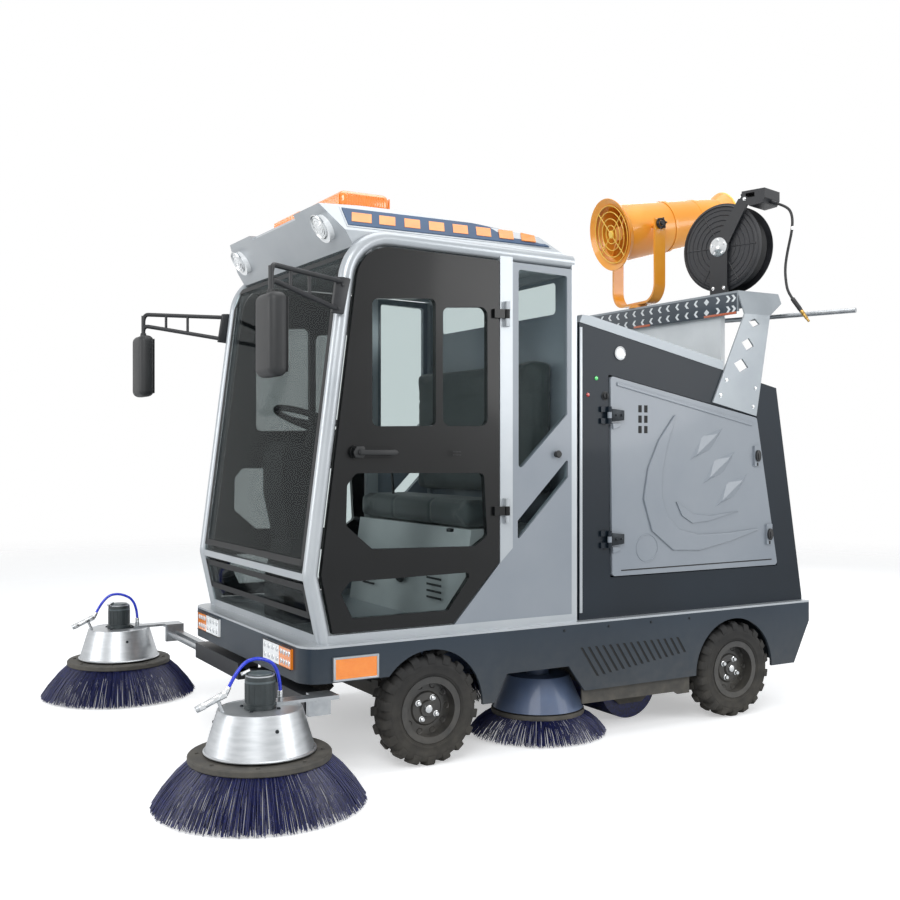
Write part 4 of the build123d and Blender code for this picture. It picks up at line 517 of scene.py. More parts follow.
def build_floor(radius):
    """Pale round floor that fades out at its rim and keeps the vehicle's shadow."""
    bm = bmesh.new()
    bmesh.ops.create_circle(bm, cap_ends=True, segments=96, radius=radius)
    mesh = bpy.data.meshes.new("floor")
    bm.to_mesh(mesh)
    bm.free()
    floor = bpy.data.objects.new("floor", mesh)
    bpy.context.scene.collection.objects.link(floor)
    made, tree = blank_material("studio_floor")
    where = add_node(tree, "TexCoord").outputs["Object"]
    place = add_node(tree, "Mapping", {"Vector": where, "Scale": [1 / radius] * 3}).outputs[0]
    reach = add_node(tree, "TexGradient", {"Vector": place}, gradient_type="SPHERICAL").outputs[1]
    cover = add_node(tree, "MapRange", {"Value": reach, "From Min": 0.02, "From Max": 0.55}).outputs[0]
    camera_ray = add_node(tree, "LightPath").outputs["Is Camera Ray"]
    lift = add_node(tree, "Math", {0: camera_ray, 1: 0.42}, operation="MULTIPLY").outputs[0]
    paint = add_node(
        tree, "BsdfPrincipled",
        {
            "Base Color": linear("#ecedee"), "Roughness": 0.8, "Specular IOR Level": 0.1,
            "Emission Color": linear("#ffffff"), "Emission Strength": lift,
        },
    ).outputs[0]
    clear = add_node(tree, "BsdfTransparent").outputs[0]
    both = add_node(tree, "MixShader", {0: cover, 1: clear, 2: paint}).outputs[0]
    add_node(tree, "OutputMaterial", {"Surface": both})
    mesh.materials.append(made)


def build_surround(fill_strength):
    """World that is white to the camera, to gloss and to glass, and a soft dim light to the rest."""
    world = bpy.data.worlds.new("studio")
    world.use_nodes = True
    tree = world.node_tree
    tree.nodes.clear()
    path = add_node(tree, "LightPath")
    seen = path.outputs["Is Camera Ray"]
    for ray in ("Is Glossy Ray", "Is Transmission Ray"):
        seen = add_node(tree, "Math", {0: seen, 1: path.outputs[ray]}, operation="MAXIMUM").outputs[0]
    soft = add_node(tree, "Background", {"Color": linear("#eef1f4"), "Strength": fill_strength}).outputs[0]
    white = add_node(tree, "Background", {"Color": linear("#ffffff"), "Strength": 1.0}).outputs[0]
    both = add_node(tree, "MixShader", {0: seen, 1: soft, 2: white}).outputs[0]
    add_node(tree, "OutputWorld", {"Surface": both})
    bpy.context.scene.world = world


def build_lights(key_power):
    """Five round soft lights aimed at the middle of the vehicle."""
    aim = Vector((-0.7, 0, 0.9))
    # Name, place and width in metres, share of the key light's power
    lights = (
        ("key_light", (3.2, 4.6, 4.4), 3.4, 1.0),
        ("side_light", (-4.2, 5.0, 2.6), 3.0, 0.55),
        ("front_light", (5.6, -1.2, 2.4), 2.8, 0.5),
        ("top_light", (-0.8, 0.2, 5.8), 4.5, 0.6),
        ("back_light", (-5.2, -3.8, 3.2), 3.0, 0.4),
    )
    for name, place, size, share in lights:
        lamp = bpy.data.lights.new(name, "AREA")
        lamp.shape = "DISK"
        lamp.size = size
        lamp.energy = key_power * share
        holder = bpy.data.objects.new(name, lamp)
        holder.location = place
        holder.rotation_euler = (aim - Vector(place)).to_track_quat("-Z", "Y").to_euler()
        bpy.context.scene.collection.objects.link(holder)


def build_camera(focal_length, yaw):
    """Camera at the photograph's viewing angle."""
    scene = bpy.context.scene
    lens_data = bpy.data.cameras.new("camera")
    lens_data.sensor_width = 36
    lens_data.lens = focal_length
    lens_data.clip_end = 100
    camera = bpy.data.objects.new("camera", lens_data)
    camera.location = CAMERA_PLACE
    camera.rotation_euler = heading(yaw, CAMERA_RISE).to_track_quat("-Z", "Y").to_euler()
    scene.collection.objects.link(camera)
    scene.camera = camera
    scene.view_settings.view_transform = "Standard"


def build_stage(sizes):
    """Plain pale floor, white surround, soft lights and the photograph's camera."""
    build_floor(sizes.floor_radius)
    build_surround(sizes.fill_strength)
    build_lights(sizes.key_power)
    build_camera(sizes.lens, sizes.camera_yaw)


def build_finishes(sizes):
    """Give every CAD node its own finish."""
    for node, finish in NODE_FINISH.items():
        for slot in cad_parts[node].material_slots:
            slot.material = MATERIALS[finish]


# Hoses: control points repeat the routes in the part's source, here in metres

BRUSH_CENTRES = {1: (0.693, 0.727), -1: (0.693, -1.171)}
BRUSH_HOSE_ROUTE = (
    (0.113, 0.0, 0.378), (0.072, 0.001, 0.462), (-0.003, 0.006, 0.480), (-0.080, 0.025, 0.432),
    (-0.080, 0.025, 0.337),
)
REEL_HOSE_START = (-1.79921, 0.60457, 2.268)
REEL_HOSE_ROUTE = (
    (0, 0, 0), (46, -20, -12), (72, -57, -19), (74, -122, -20), (45, -227, -17), (35, -298, -14),
    (42, -361, -13), (55, -408, -13), (89, -448, -13),
)


def hose_curve(name, points, radius, material, body, node):
    """Hose as one smooth spline that stands for its CAD solid."""
    curve = bpy.data.curves.new(name, "CURVE")
    curve.dimensions = "3D"
    curve.bevel_depth = radius
    curve.bevel_resolution = 5
    curve.use_fill_caps = True
    spline = curve.splines.new("NURBS")
    spline.points.add(len(points) - 1)
    for control, point in zip(spline.points, points):
        control.co = (*point, 1)
    spline.order_u = 3
    spline.use_endpoint_u = True
    spline.resolution_u = 16
    curve.materials.append(MATERIALS[material])
    hose = bpy.data.objects.new(name, curve)
    bpy.context.scene.collection.objects.link(hose)
    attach(hose, body)
    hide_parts(node)
    return hose


def build_hoses(sizes):
    """Blue brush hoses with their collars, and the reel's hose with sleeve and connector."""
    for side in SIDES:
        x, y = BRUSH_CENTRES[side]
        points = [(x + ahead, y - side * inward, z) for ahead, inward, z in BRUSH_HOSE_ROUTE]
        body = f"brush_arm_{HAND[side]}"
        hose_curve(
            f"blue_hose_{HAND[side]}", points, sizes.hose_radius * MM, "hose_blue", body,
            f"brush_hose_{HAND[side]}",
        )
        bm = bmesh.new()
        foot, above = Vector(points[-1]) * 1000, Vector((0, 0, 1))
        add_rod(bm, foot - above * 2, foot + above * 20, 8.4, sides=24, bevel=1)
        head = Vector(points[0]) * 1000
        first = (Vector(points[1]) - Vector(points[0])).normalized()
        add_rod(bm, head - first * 4, head + first * 16, 8.4, sides=24, bevel=1)
        finish_piece(f"hose_collars_{HAND[side]}", bm, "bright_bolt", body)
    start = Vector(REEL_HOSE_START)
    points = [
        tuple(start + Vector((ahead, out, rise)) * MM) for out, rise, ahead in REEL_HOSE_ROUTE
    ]
    end, before = Vector(points[-1]) * 1000, Vector(points[-2]) * 1000
    onward = (end - before).normalized()
    bm = bmesh.new()
    add_rod(bm, end - onward * 14, end + onward * 66, 10, tip=9, sides=28, bevel=1.5)
    for ring in range(7):
        place = end + onward * (2 + 8 * ring)
        add_turned(bm, [(9.4, -1.5), (10.6, 0), (9.4, 1.5)], place, onward, steps=28)
    sleeve = finish_piece("reel_hose_sleeve", bm, "hose_black", "vehicle")
    bm = bmesh.new()
    add_rod(bm, end + onward * 64, end + onward * 86, 9.2, sides=6, bevel=0.8)
    add_rod(bm, end + onward * 84, end + onward * 112, 7.2, sides=28, bevel=1)
    add_rod(bm, end + onward * 110, end + onward * 130, 5.4, sides=28, bevel=0.8)
    tip = finish_piece("reel_hose_connector", bm, "brass", "vehicle")
    bm = bmesh.new()
    clamp = Vector(points[3]) * 1000
    add_turned(bm, [(6.2, -7), (8.2, -7), (8.2, 7), (6.2, 7)], clamp, (0, 0, 1), steps=28)
    ring = finish_piece("reel_hose_clamp", bm, "bright_bolt", "vehicle")
    hose_curve(
        "reel_hose_run", points, sizes.hose_radius * MM, "hose_black", "vehicle", "reel_hose",
    )


def build_tyres(sizes):
    """Four block-tread tyres: turned carcass with side rings, and two rows of lugs."""
    for x, end in AXLE_LINES:
        for side in SIDES:
            bm = bmesh.new()
            centre = Vector((x, side * WHEEL_Y, WHEEL_RADIUS))
            half = [
                (106, 44), (118, 47.5), (125, 48), (128, 51), (131, 51), (134, 54), (138, 54.6), (141, 53.2),
                (152, 54.8), (160, 55), (164, 56), (167, 55), (176, 53.5), (184, 49), (190, 41), (193, 30),
                (194, 14),
            ]
            profile = half + [(radius, -reach) for radius, reach in reversed(half)]
            add_turned(bm, profile, centre, (0, 1, 0), steps=96)
            for row in SIDES:
                for turn in angles(sizes.tyre_lugs, 0.5 if row < 0 else 0.0):
                    out = Vector((math.sin(turn), 0, -math.cos(turn)))
                    around = Vector((math.cos(turn), 0, math.sin(turn)))
                    outline = (
                        (184, 4), (204.6, 6), (205, 30), (203.5, 42), (196, 51), (180, 55.6), (170, 56.4),
                        (166, 50),
                    )
                    points = [
                        centre + out * radius + Vector((0, row * reach, 0))
                        + around * (-16 + (8 if reach < 10 else 0)) for radius, reach in outline
                    ]
                    add_prism(bm, points, around * 32, 2.2)
            place = f"{end}_{HAND[side]}"
            tyre = finish_piece(f"tread_{place}", bm, "tyre_rubber", f"wheel_{place}", 40)
            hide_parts(f"tyre_{place}")


def build_wheel_trim(sizes):
    """Wheel bolts with the hub cap, and the pressed lips of the holes in each rim."""
    for x, end in AXLE_LINES:
        for side in SIDES:
            node = f"rim_{end}_{HAND[side]}"
            body = f"wheel_{end}_{HAND[side]}"
            bm = bmesh.new()
            for turn in angles(4, 0.35):
                u, v = BOLT_CIRCLE * math.cos(turn), BOLT_CIRCLE * math.sin(turn)
                point = on_side(node, side, x + u, WHEEL_RADIUS + v)
                add_turned(
                    bm, [(0, 0), (12, 0), (12, 3), (8.5, 5), (8.5, 13), (6, 15), (0, 15)], point,
                    (0, side, 0), steps=24, closed=False,
                )
            hub = on_side(node, side, x + 4, WHEEL_RADIUS)
            hub.x = x
            add_turned(
                bm, [(0, 9), (9, 9), (14, 7), (17, 2), (17, -3)], hub, (0, side, 0), steps=36, closed=False
            )
            finish_piece(f"wheel_bolts_{end}_{HAND[side]}", bm, "bright_bolt", body)
            bm = bmesh.new()
            for turn in angles(10):
                u, v = HOLE_CIRCLE * math.cos(turn), HOLE_CIRCLE * math.sin(turn)
                point = on_side(node, side, x + u, WHEEL_RADIUS + v)
                add_turned(
                    bm, [(9, 0), (12.5, 0), (11.5, 2.2), (9, 0.6)], point, (0, side, 0), steps=20
                )
            finish_piece(f"wheel_holes_{end}_{HAND[side]}", bm, "rim_black", body)


def bristle_rows(bm, centre, rows, radius, seed):
    """Rings of drooping bristles: rows of (count, foot radius, foot height, tip radius, tip height)."""
    chance = random.Random(seed)
    routes = []
    for count, foot_radius, foot_z, tip_radius, tip_z in rows:
        for step in range(count):
            turn = math.tau * (step + chance.uniform(-0.35, 0.35)) / count
            swing = chance.uniform(-0.02, 0.02)
            reach = tip_radius - chance.uniform(0, 9)
            drop = tip_z + chance.uniform(0, 9)
            foot = foot_radius - chance.uniform(0, 12)
            route = []
            for share in (0.0, 0.35, 0.7, 1.0):
                bow = 9 * math.sin(math.pi * share)
                out = foot + (reach - foot) * share + bow * 0.5
                z = foot_z + (drop - foot_z) * share + bow
                at = turn + swing * share
                route.append((centre[0] + out * math.cos(at), centre[1] + out * math.sin(at), z))
            routes.append(route)
    add_wires(bm, routes, radius, sides=0)


def build_front_brushes(sizes):
    """Front brushes: carrier ring and a dense flared skirt of nylon bristles."""
    for side in SIDES:
        x, y = (value * 1000 for value in BRUSH_CENTRES[side])
        hand = HAND[side]
        bm = bmesh.new()
        ring = [
            (12, 151), (190, 151), (222, 147), (233, 149), (235, 152), (235, 166), (232, 169.5), (60, 170),
            (12, 170),
        ]
        add_turned(bm, ring, (x, y, 0), (0, 0, 1), steps=96)
        for turn in angles(8, 0.5):
            add_bolt(bm, (x + 205 * math.cos(turn), y + 205 * math.sin(turn), 169.5), (0, 0, 1), 6, 4)
        plate = finish_piece(f"brush_ring_{hand}", bm, "chassis_black", f"front_brush_{hand}")
        bm = bmesh.new()
        full = sizes.bristle_rows
        rows = (
            (full, 231, 150, 352, 4), (full, 226, 149, 345, 4), (int(full * 0.8), 214, 149, 322, 4),
            (int(full * 0.6), 202, 149, 298, 4),
        )
        bristle_rows(bm, (x, y), rows, sizes.bristle_radius, 11 + side)
        fibres = finish_piece(f"bristles_{hand}", bm, "bristle_nylon", f"front_brush_{hand}", 60)
        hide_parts(f"front_brush_{hand}")
        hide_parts(f"front_brush_{hand}")


def build_mid_brushes(sizes):
    """Middle brushes under the body: carrier and bristles."""
    for side in SIDES:
        hand = HAND[side]
        x, y = MID_BRUSH_X, side * MID_BRUSH_Y
        bm = bmesh.new()
        ring = [(12, 84), (170, 84), (190, 86), (192, 92), (190, 104), (12, 105)]
        add_turned(bm, ring, (x, y, 0), (0, 0, 1), steps=72)
        plate = finish_piece(f"mid_ring_{hand}", bm, "chassis_black", f"mid_brush_{hand}")
        bm = bmesh.new()
        full = int(sizes.bristle_rows * 0.75)
        rows = ((full, 189, 88, 282, 4), (full, 180, 86, 270, 4), (int(full * 0.7), 168, 85, 244, 4))
        bristle_rows(bm, (x, y), rows, sizes.bristle_radius, 31 + side)
        fibres = finish_piece(f"mid_bristles_{hand}", bm, "bristle_nylon", f"mid_brush_{hand}", 60)
        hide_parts(f"mid_brush_{hand}")
        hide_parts(f"mid_brush_{hand}")


def build_brush_hoods(sizes):
    """Drive motors with their caps, hood beads and bolts, and the spray nozzles."""
    for side in SIDES:
        x, y = (value * 1000 for value in BRUSH_CENTRES[side])
        body = f"brush_arm_{HAND[side]}"
        bm = bmesh.new()
        shell = [
            (0, 424.4), (42, 424.4), (47.5, 421), (49, 415), (49, 402), (48.9, 330), (54, 327), (54, 314),
            (0, 314),
        ]
        add_turned(bm, shell, (x, y, 0), (0, 0, 1), steps=64, closed=False)
        for turn in angles(16):
            out = Vector((math.cos(turn), math.sin(turn), 0))
            add_rod(bm, Vector((x, y, 334)) + out * 48.5, Vector((x, y, 396)) + out * 48.5, 2.2, sides=8)
        finish_piece(f"motor_body_{HAND[side]}", bm, "motor_black", body)
        bm = bmesh.new()
        add_turned(
            bm, [(0, 430), (26, 430), (38, 428.5), (40, 424), (0, 424)], (x, y, 0), (0, 0, 1), steps=48,
            closed=False,
        )
        add_turned(
            bm, [(49, 398), (50.5, 399), (50.5, 404), (49, 405)], (x, y, 0), (0, 0, 1), steps=64
        )
        finish_piece(f"motor_cap_{HAND[side]}", bm, "motor_cap", body)
        bm = bmesh.new()
        rim_bead = [(181, 176), (184.5, 177), (185, 180), (182.5, 182.5), (179.5, 184)]
        top_bead = [(138, 312.8), (139.5, 311.5), (137, 314.2), (130, 314.4), (129, 312.8)]
        for bead in (rim_bead, top_bead):
            add_turned(bm, bead, (x, y, 0), (0, 0, 1), steps=96)
        finish_piece(f"hood_beads_{HAND[side]}", bm, "brushed_steel", body)
        bm = bmesh.new()
        for step in range(4):
            turn = math.radians(45 + 90 * step)
            add_bolt(bm, (x + 66 * math.cos(turn), y + 66 * math.sin(turn), 313), (0, 0, 1), 5.5, 5)
        for degrees in (-150, -30, 90):
            turn = math.radians(degrees)
            slope = Vector((math.cos(turn) * 0.956, math.sin(turn) * 0.956, 0.293))
            foot = Vector((x + 153 * math.cos(turn), y + 153 * math.sin(turn), 267))
            add_bolt(bm, foot, slope, 5, 4)
        finish_piece(f"hood_bolts_{HAND[side]}", bm, "dark_bolt", body)
        bm = bmesh.new()
        tail, nose = Vector((x + 118, y, 371)), Vector((x + 216, y, 329.5))
        way = (nose - tail).normalized()
        add_rod(bm, tail, tail + way * 22, 13.5, sides=6, bevel=1)
        add_rod(bm, tail + way * 22, tail + way * 76, 11.4, sides=32, bevel=1)
        add_rod(bm, tail + way * 76, tail + way * 96, 13, sides=6, bevel=1)
        add_rod(bm, tail + way * 96, nose, 10, tip=5, sides=32)
        add_rod(bm, (x + 58, y - side * 20, 424), (x + 30, y - side * 12, 436), 6, sides=20, bevel=0.8)
        finish_piece(f"nozzle_{HAND[side]}", bm, "bright_bolt", body)


def build_roof(sizes):
    """Blue side panels of the roof on a silver edge, with their orange parallelograms."""
    def flank(side, x, share):
        """Point on the sloping side of the roof, share 0 at its foot and 1 at its top."""
        y = side * (566 - 88 * share)
        return touch("roof_fairing", (x, y, 2400), (0, 0, -1))

    for side in SIDES:
        # Piece, finish, its front and rear ends along X, its shares of the slope, how far it stands off
        for name, material, first, last, low, high, lift in (
            ("roof_edge", "silver_paint", 303, -590, 0.05, 0.86, 1.5),
            ("roof_panel", "roof_blue", 296, -584, 0.12, 0.80, 4.0),
        ):
            bm = bmesh.new()
            stations = [first + (last - first) * step / 24 for step in range(25)]
            rows = []
            for x in stations:
                near, far = flank(side, x, low), flank(side, x, high)
                out = Vector((0, side * ROOF_SLOPE[0], ROOF_SLOPE[1])) * lift
                rows.append([bm.verts.new(point) for point in (near - out, far - out, far + out, near + out)])
            for before, after in zip(rows, rows[1:]):
                for k in range(4):
                    bm.faces.new((before[k], before[(k + 1) % 4], after[(k + 1) % 4], after[k]))
            bm.faces.new(rows[0])
            bm.faces.new(rows[-1])
            finish_piece(f"{name}_{HAND[side]}", bm, material, "vehicle", 20)
        bm = bmesh.new()
        for step in range(8):
            middle = 232 - 104.5 * step
            half = 40 if step == 0 else 33
            out = Vector((0, side * ROOF_SLOPE[0], ROOF_SLOPE[1])) * 5.2
            corners = (
                (middle + half + 6, 0.26), (middle - half + 6, 0.26), (middle - half - 10, 0.64),
                (middle + half - 10, 0.64),
            )
            add_prism(bm, [flank(side, x, share) for x, share in corners], out, 0)
        finish_piece(f"roof_stripes_{HAND[side]}", bm, "stripe_orange", "vehicle")


def first_hit(nodes, start, direction):
    """Nearest point that a line meets on any of the nodes."""
    hits = []
    for node in nodes:
        try:
            hits.append(touch(node, start, direction))
        except RuntimeError:
            continue
    return min(hits, key=lambda point: (point - Vector(start)).length)


# Nodes that the diodes of a headlamp may sit on
LAMP_FACES = ("white_lamps", "amber_lamps", "front_bumper")


def build_lamps(sizes):
    """Diodes and rims of the headlamps, side marker frames, and rings and lenses of the work lamps."""
    bm_dots, bm_rim = bmesh.new(), bmesh.new()
    for side in SIDES:
        for first, last in ((280, 400), (440, 514)):
            for step in range(4):
                y = side * (first + (last - first) * step / 3)
                for z in (404, 438):
                    point = first_hit(LAMP_FACES, (900, y, z), (-1, 0, 0))
                    add_turned(
                        bm_dots, [(0, 2.6), (6, 2.2), (9.5, 0.8), (10.5, -1)], point, (1, 0, 0), steps=24,
                        closed=False,
                    )
        for first, last in ((256, 400), (402, 534)):
            for low in (381, 456):
                corners = rectangle(side * first, low, side * last, low + 4)
                add_prism(bm_rim, [(507, y, z) for y, z in corners], (4, 0, 0), 0.6)
    finish_piece("lamp_diodes", bm_dots, "lamp_reflector", "vehicle")
    finish_piece("lamp_rims", bm_rim, "seal_rubber", "vehicle")
    bm = bmesh.new()
    for side in SIDES:
        outer = rectangle(218, 350, 394, 434)
        inner = rectangle(226, 357, 386, 427)
        for k in range(4):
            corners = (outer[k], outer[(k + 1) % 4], inner[(k + 1) % 4], inner[k])
            add_prism(bm, [(x, side * 638.5, z) for x, z in corners], (0, side * 10, 0), 0.8)
    finish_piece("marker_frames", bm, "silver_paint", "vehicle")
    bm_ring, bm_lens = bmesh.new(), bmesh.new()
    for side in SIDES:
        face = touch("white_lamps", (900, side * 440, 1975), (-1, 0, 0))
        beyond = touch("white_lamps", (900, side * 440, 1985), (-1, 0, 0))
        slope = Vector((beyond.z - face.z, 0, face.x - beyond.x)).normalized()
        slope = slope if slope.x > 0 else -slope
        add_turned(
            bm_ring, [(41, -4), (47, -3), (48.5, 3), (45, 6), (41, 3)], face, slope, steps=48
        )
        add_turned(
            bm_lens, [(0, 5.5), (20, 5), (34, 3.6), (41, 1.5), (41, -2)], face, slope, steps=48, closed=False
        )
        for ring in (12, 24, 34):
            add_turned(bm_ring, [(ring, 4.6), (ring + 1.2, 6), (ring + 2.2, 4.2)], face, slope, steps=36)
    finish_piece("work_lamp_rings", bm_ring, "bright_bolt", "vehicle")
    finish_piece("work_lamp_lenses", bm_lens, "clear_lens", "vehicle")


# Corners (x, z) of the first of the three pressed diamonds on a hatch
DIAMOND = ((-1274, 1111), (-1349, 1217), (-1472, 1257), (-1400, 1161))


def build_hatch_relief(sizes):
    """Pressed shapes, vents, hinges and latches of the side hatches."""
    for side in SIDES:
        hand = HAND[side]
        node = body = f"hatch_{hand}"
        bm = bmesh.new()
        for step in range(3):
            shift = Vector((-73 * step, -101 * step))
            corners = [Vector(corner) + shift for corner in DIAMOND]
            base = [on_side(node, side, p.x, p.y, -1) for p in corners]
            ends = (corners[0].lerp(corners[2], 0.2), corners[0].lerp(corners[2], 0.8))
            ridge = [on_side(node, side, p.x, p.y, 9) for p in ends]
            add_hull(bm, base + ridge)
        # Middle line of the curved pressing, each point with half the pressing's width there
        bow = (
            ((-1196, 1306), 4), ((-1128, 1190), 26), ((-1085, 1075), 40), ((-1072, 960), 50),
            ((-1110, 850), 52), ((-1200, 778), 46), ((-1330, 762), 34), ((-1500, 778), 20),
            ((-1672, 806), 4),
        )
        left, right = [], []
        for k, (point, half) in enumerate(bow):
            before, after = Vector(bow[max(k - 1, 0)][0]), Vector(bow[min(k + 1, len(bow) - 1)][0])
            flow = (after - before).normalized()
            across = Vector((-flow.y, flow.x))
            left.append(Vector(point) + across * half)
            right.append(Vector(point) - across * half)
        side_prism(bm, node, side, [tuple(p) for p in left + right[::-1]], 8, 5)
        accent = [
            (-1201, 940), (-1232, 880), (-1290, 846), (-1380, 852), (-1560, 890), (-1390, 874),
            (-1300, 884), (-1240, 915),
        ]
        side_prism(bm, node, side, accent, 6, 2)
        side_prism(bm, node, side, [(-884, 1437), (-884, 1421), (-1642, 1263), (-1650, 1277)], 5, 3)
        ring = on_side(node, side, -1045, 751)
        add_turned(bm, [(53, -1), (55, 2.6), (58, 2.6), (60, -1)], ring, (0, side, 0), steps=64)
        for x, z in ((-838, 1246), (-838, 741)):
            dimple = [(x - 22, z + 22), (x - 62, z + 20), (x - 60, z + 6), (x - 24, z - 4)]
            side_prism(bm, node, side, dimple, 7, 2)
        finish_piece(f"hatch_pressings_{hand}", bm, "grey_paint", body, 9)
        bm = bmesh.new()
        for x in (-1007, -1038):
            for z in (1329, 1286, 1243):
                side_prism(bm, node, side, rectangle(x - 9, z - 15, x + 9, z + 15), 0.6)
        side_prism(bm, node, side, [(-908, 662), (-908, 667), (-1764, 671), (-1764, 666)], 0.6)
        for x, z in ((-1668, 1132), (-1742, 782)):
            side_prism(bm, node, side, rectangle(x - 4, z - 44, x + 4, z - 30), 1)
        finish_piece(f"hatch_openings_{hand}", bm, "vent_dark", body)
        bm = bmesh.new()
        for x, z in ((-1668, 1132), (-1742, 782)):
            point = on_side(node, side, x, z)
            outline = [
                (x + 15 * math.cos(turn), point.y, z + 26 * math.sin(turn)) for turn in angles(28)
            ]
            add_prism(bm, outline, (0, side * 9, 0), 2.5)
            add_box(bm, *sorted_corners((x - 6, point.y, z - 16), (x + 6, point.y + side * 13, z + 12)), 2)
        finish_piece(f"hatch_latches_{hand}", bm, "moulded_black", body)
        bm = bmesh.new()
        for z in (1300, 795):
            leaf = [(-912, z - 20), (-848, z - 26), (-848, z + 26), (-912, z + 20)]
            side_prism(bm, node, side, leaf, 7, 2)
            for x in (-898, -870):
                point = on_side(node, side, x, z)
                add_bolt(bm, point + Vector((0, side * 7, 0)), (0, side, 0), 5, 4)
        finish_piece(f"hatch_hinges_{hand}", bm, "dark_bolt", body)


def sorted_corners(first, second):
    """Lowest and highest corner of two points."""
    return tuple(map(min, first, second)), tuple(map(max, first, second))


def build_body_details(sizes):
    """Silver edge strip, side lamp, indicator lights and key switch on the rear body."""
    strip, chrome, pale, black = bmesh.new(), bmesh.new(), bmesh.new(), bmesh.new()
    for side in SIDES:
        y = on_side("rear_body", side, -720, 1000).y
        add_box(strip, *sorted_corners((-714, y - side, 504), (-700.5, y + side * 4, 1652)), 1.2)
        point = on_side("rear_body", side, -906, 1555)
        add_turned(chrome, [(23, -1), (28, 0), (28.5, 5), (24, 7.5), (22, 5)], point, (0, side, 0), steps=40)
        add_turned(pale, [(0, 9), (14, 8), (22, 5), (22, 0)], point, (0, side, 0), steps=40, closed=False)
        point = on_side("rear_body", side, -830, 1378)
        switch = [(0, 14), (10, 13), (13, 10), (14, 3), (18, 2), (18, -1)]
        add_turned(black, switch, point, (0, side, 0), steps=32, closed=False)
        key = sorted_corners((-833, point.y + side * 12, 1367), (-827, point.y + side * 20, 1389))
        add_box(black, *key, 1.5)
    finish_piece("body_edge_strips", strip, "silver_paint", "vehicle")
    finish_piece("side_lamp_rings", chrome, "bright_bolt", "vehicle")
    finish_piece("side_lamps", pale, "clear_lens", "vehicle")
    finish_piece("key_switches", black, "moulded_black", "vehicle")
    for name, x, z, material in (
        ("green_light", -786, 1449, "green_lens"), ("red_light", -744, 1381, "red_lens"),
    ):
        bm = bmesh.new()
        for side in SIDES:
            point = on_side("rear_body", side, x, z)
            add_turned(bm, [(0, 6), (5, 5), (8, 2), (8.5, -1)], point, (0, side, 0), steps=24, closed=False)
        finish_piece(name, bm, material, "vehicle")


def build_louvres(sizes):
    """Slanted louvre slots in the side skirts, with their pale lower lips and edge bolts."""
    dark, lip, bolts = bmesh.new(), bmesh.new(), bmesh.new()
    for side in SIDES:
        for step in range(15):
            share = step / 14
            top_x, top_z = -683 - 498 * share, 373
            foot_x, foot_z = -764 - 459 * share, 253 + 53 * share
            for bm, near, far, height, bevel in ((dark, 5, -5, 0.7, 0), (lip, -5, -8, 3, 0.8)):
                slot = [
                    (top_x + near, top_z), (top_x + far, top_z), (foot_x + far, foot_z),
                    (foot_x + near, foot_z),
                ]
                side_prism(bm, "skirts", side, slot, height, bevel)
        for x in (-600, -820, -1040, -1250):
            point = on_side("skirts", side, x, 447)
            add_bolt(bolts, point, (0, side, 0), 4.5, 3)
    finish_piece("louvre_slots", dark, "vent_dark", "vehicle")
    finish_piece("louvre_lips", lip, "slate_paint", "vehicle")
    finish_piece("skirt_bolts", bolts, "dark_bolt", "vehicle")


# Middles of the flange's arrows along Y: those left of the lozenge point left, the rest right
LEFT_ARROWS = (440, 505, 539)
RIGHT_ARROWS = (300, 237, 172, 105, 47, -17, -81, -145, -210, -274, -339, -403, -468, -530)
LOZENGE_Y = 368


def build_platform(sizes):
    """Platform flange, its face made darker as painted shade, with its arrow cut-outs shown pale, reflective
    tape and leg bolts.
    """
    slate, pale, tape, bolts = (bmesh.new() for _ in range(4))
    face = touch("platform", (-1000, 300, 1815), (-1, 0, 0)).x
    front = face + 1.6
    # Flange face: a darker slate plate that paints the shadow on the beam's forward face
    add_box(slate, (face - 0.5, -558, 1764), (front, 558, 1858), 0.6)
    arrows = [(y, 1) for y in LEFT_ARROWS] + [(y, -1) for y in RIGHT_ARROWS]
    for row in (1788, 1836):
        for y, way in arrows:
            arrow = (
                (y - 12 * way, row + 15), (y + 2 * way, row + 15), (y + 16 * way, row),
                (y + 2 * way, row - 15), (y - 12 * way, row - 15), (y + 2 * way, row),
            )
            add_prism(pale, [(front - 0.4, a, b) for a, b in arrow], (1.0, 0, 0))
        lozenge = (
            (LOZENGE_Y - 17, row), (LOZENGE_Y, row + 15), (LOZENGE_Y + 17, row), (LOZENGE_Y, row - 15),
        )
        add_prism(pale, [(front - 0.4, a, b) for a, b in lozenge], (1.0, 0, 0))
    for first, last in ((-150, -28), (351, 556)):
        add_box(tape, (front - 0.6, first, 1764.6), (front + 0.9, last, 1775), 0.2)
    # The flange face's darker finish is painted shade
    finish_piece("flange_face", slate, "flange_painted_shade", "vehicle")
    finish_piece("flange_arrows", pale, "pale_screen", "vehicle")
    finish_piece("flange_tape", tape, "reflective_tape", "vehicle")
    for side in SIDES:
        for x, z in ((-1455, 1396), (-1648, 1350), (-1490, 1462), (-1662, 1432)):
            point = on_side("platform", side, x, z)
            add_bolt(bolts, point, (0, side, 0), 7, 6)
    finish_piece("leg_bolts", bolts, "bright_bolt", "vehicle")


# Heading and rise of the cannon at rest, in degrees
CANNON_YAW, CANNON_RISE = -6.3, -11.6

# Middle of the cannon's pivot, and how far its guard and its knobs stand from it
CANNON_PIVOT = (-1636, -163, 2260)
GUARD_REACH = 161
KNOB_REACH = 196


def cannon_axes():
    """Centre of the cannon's pivot, its direction and its up vector."""
    ahead = heading(CANNON_YAW, CANNON_RISE)
    yaw = math.radians(CANNON_YAW)
    across = Vector((-math.sin(yaw), math.cos(yaw), 0))
    return Vector(CANNON_PIVOT), ahead, ahead.cross(across)


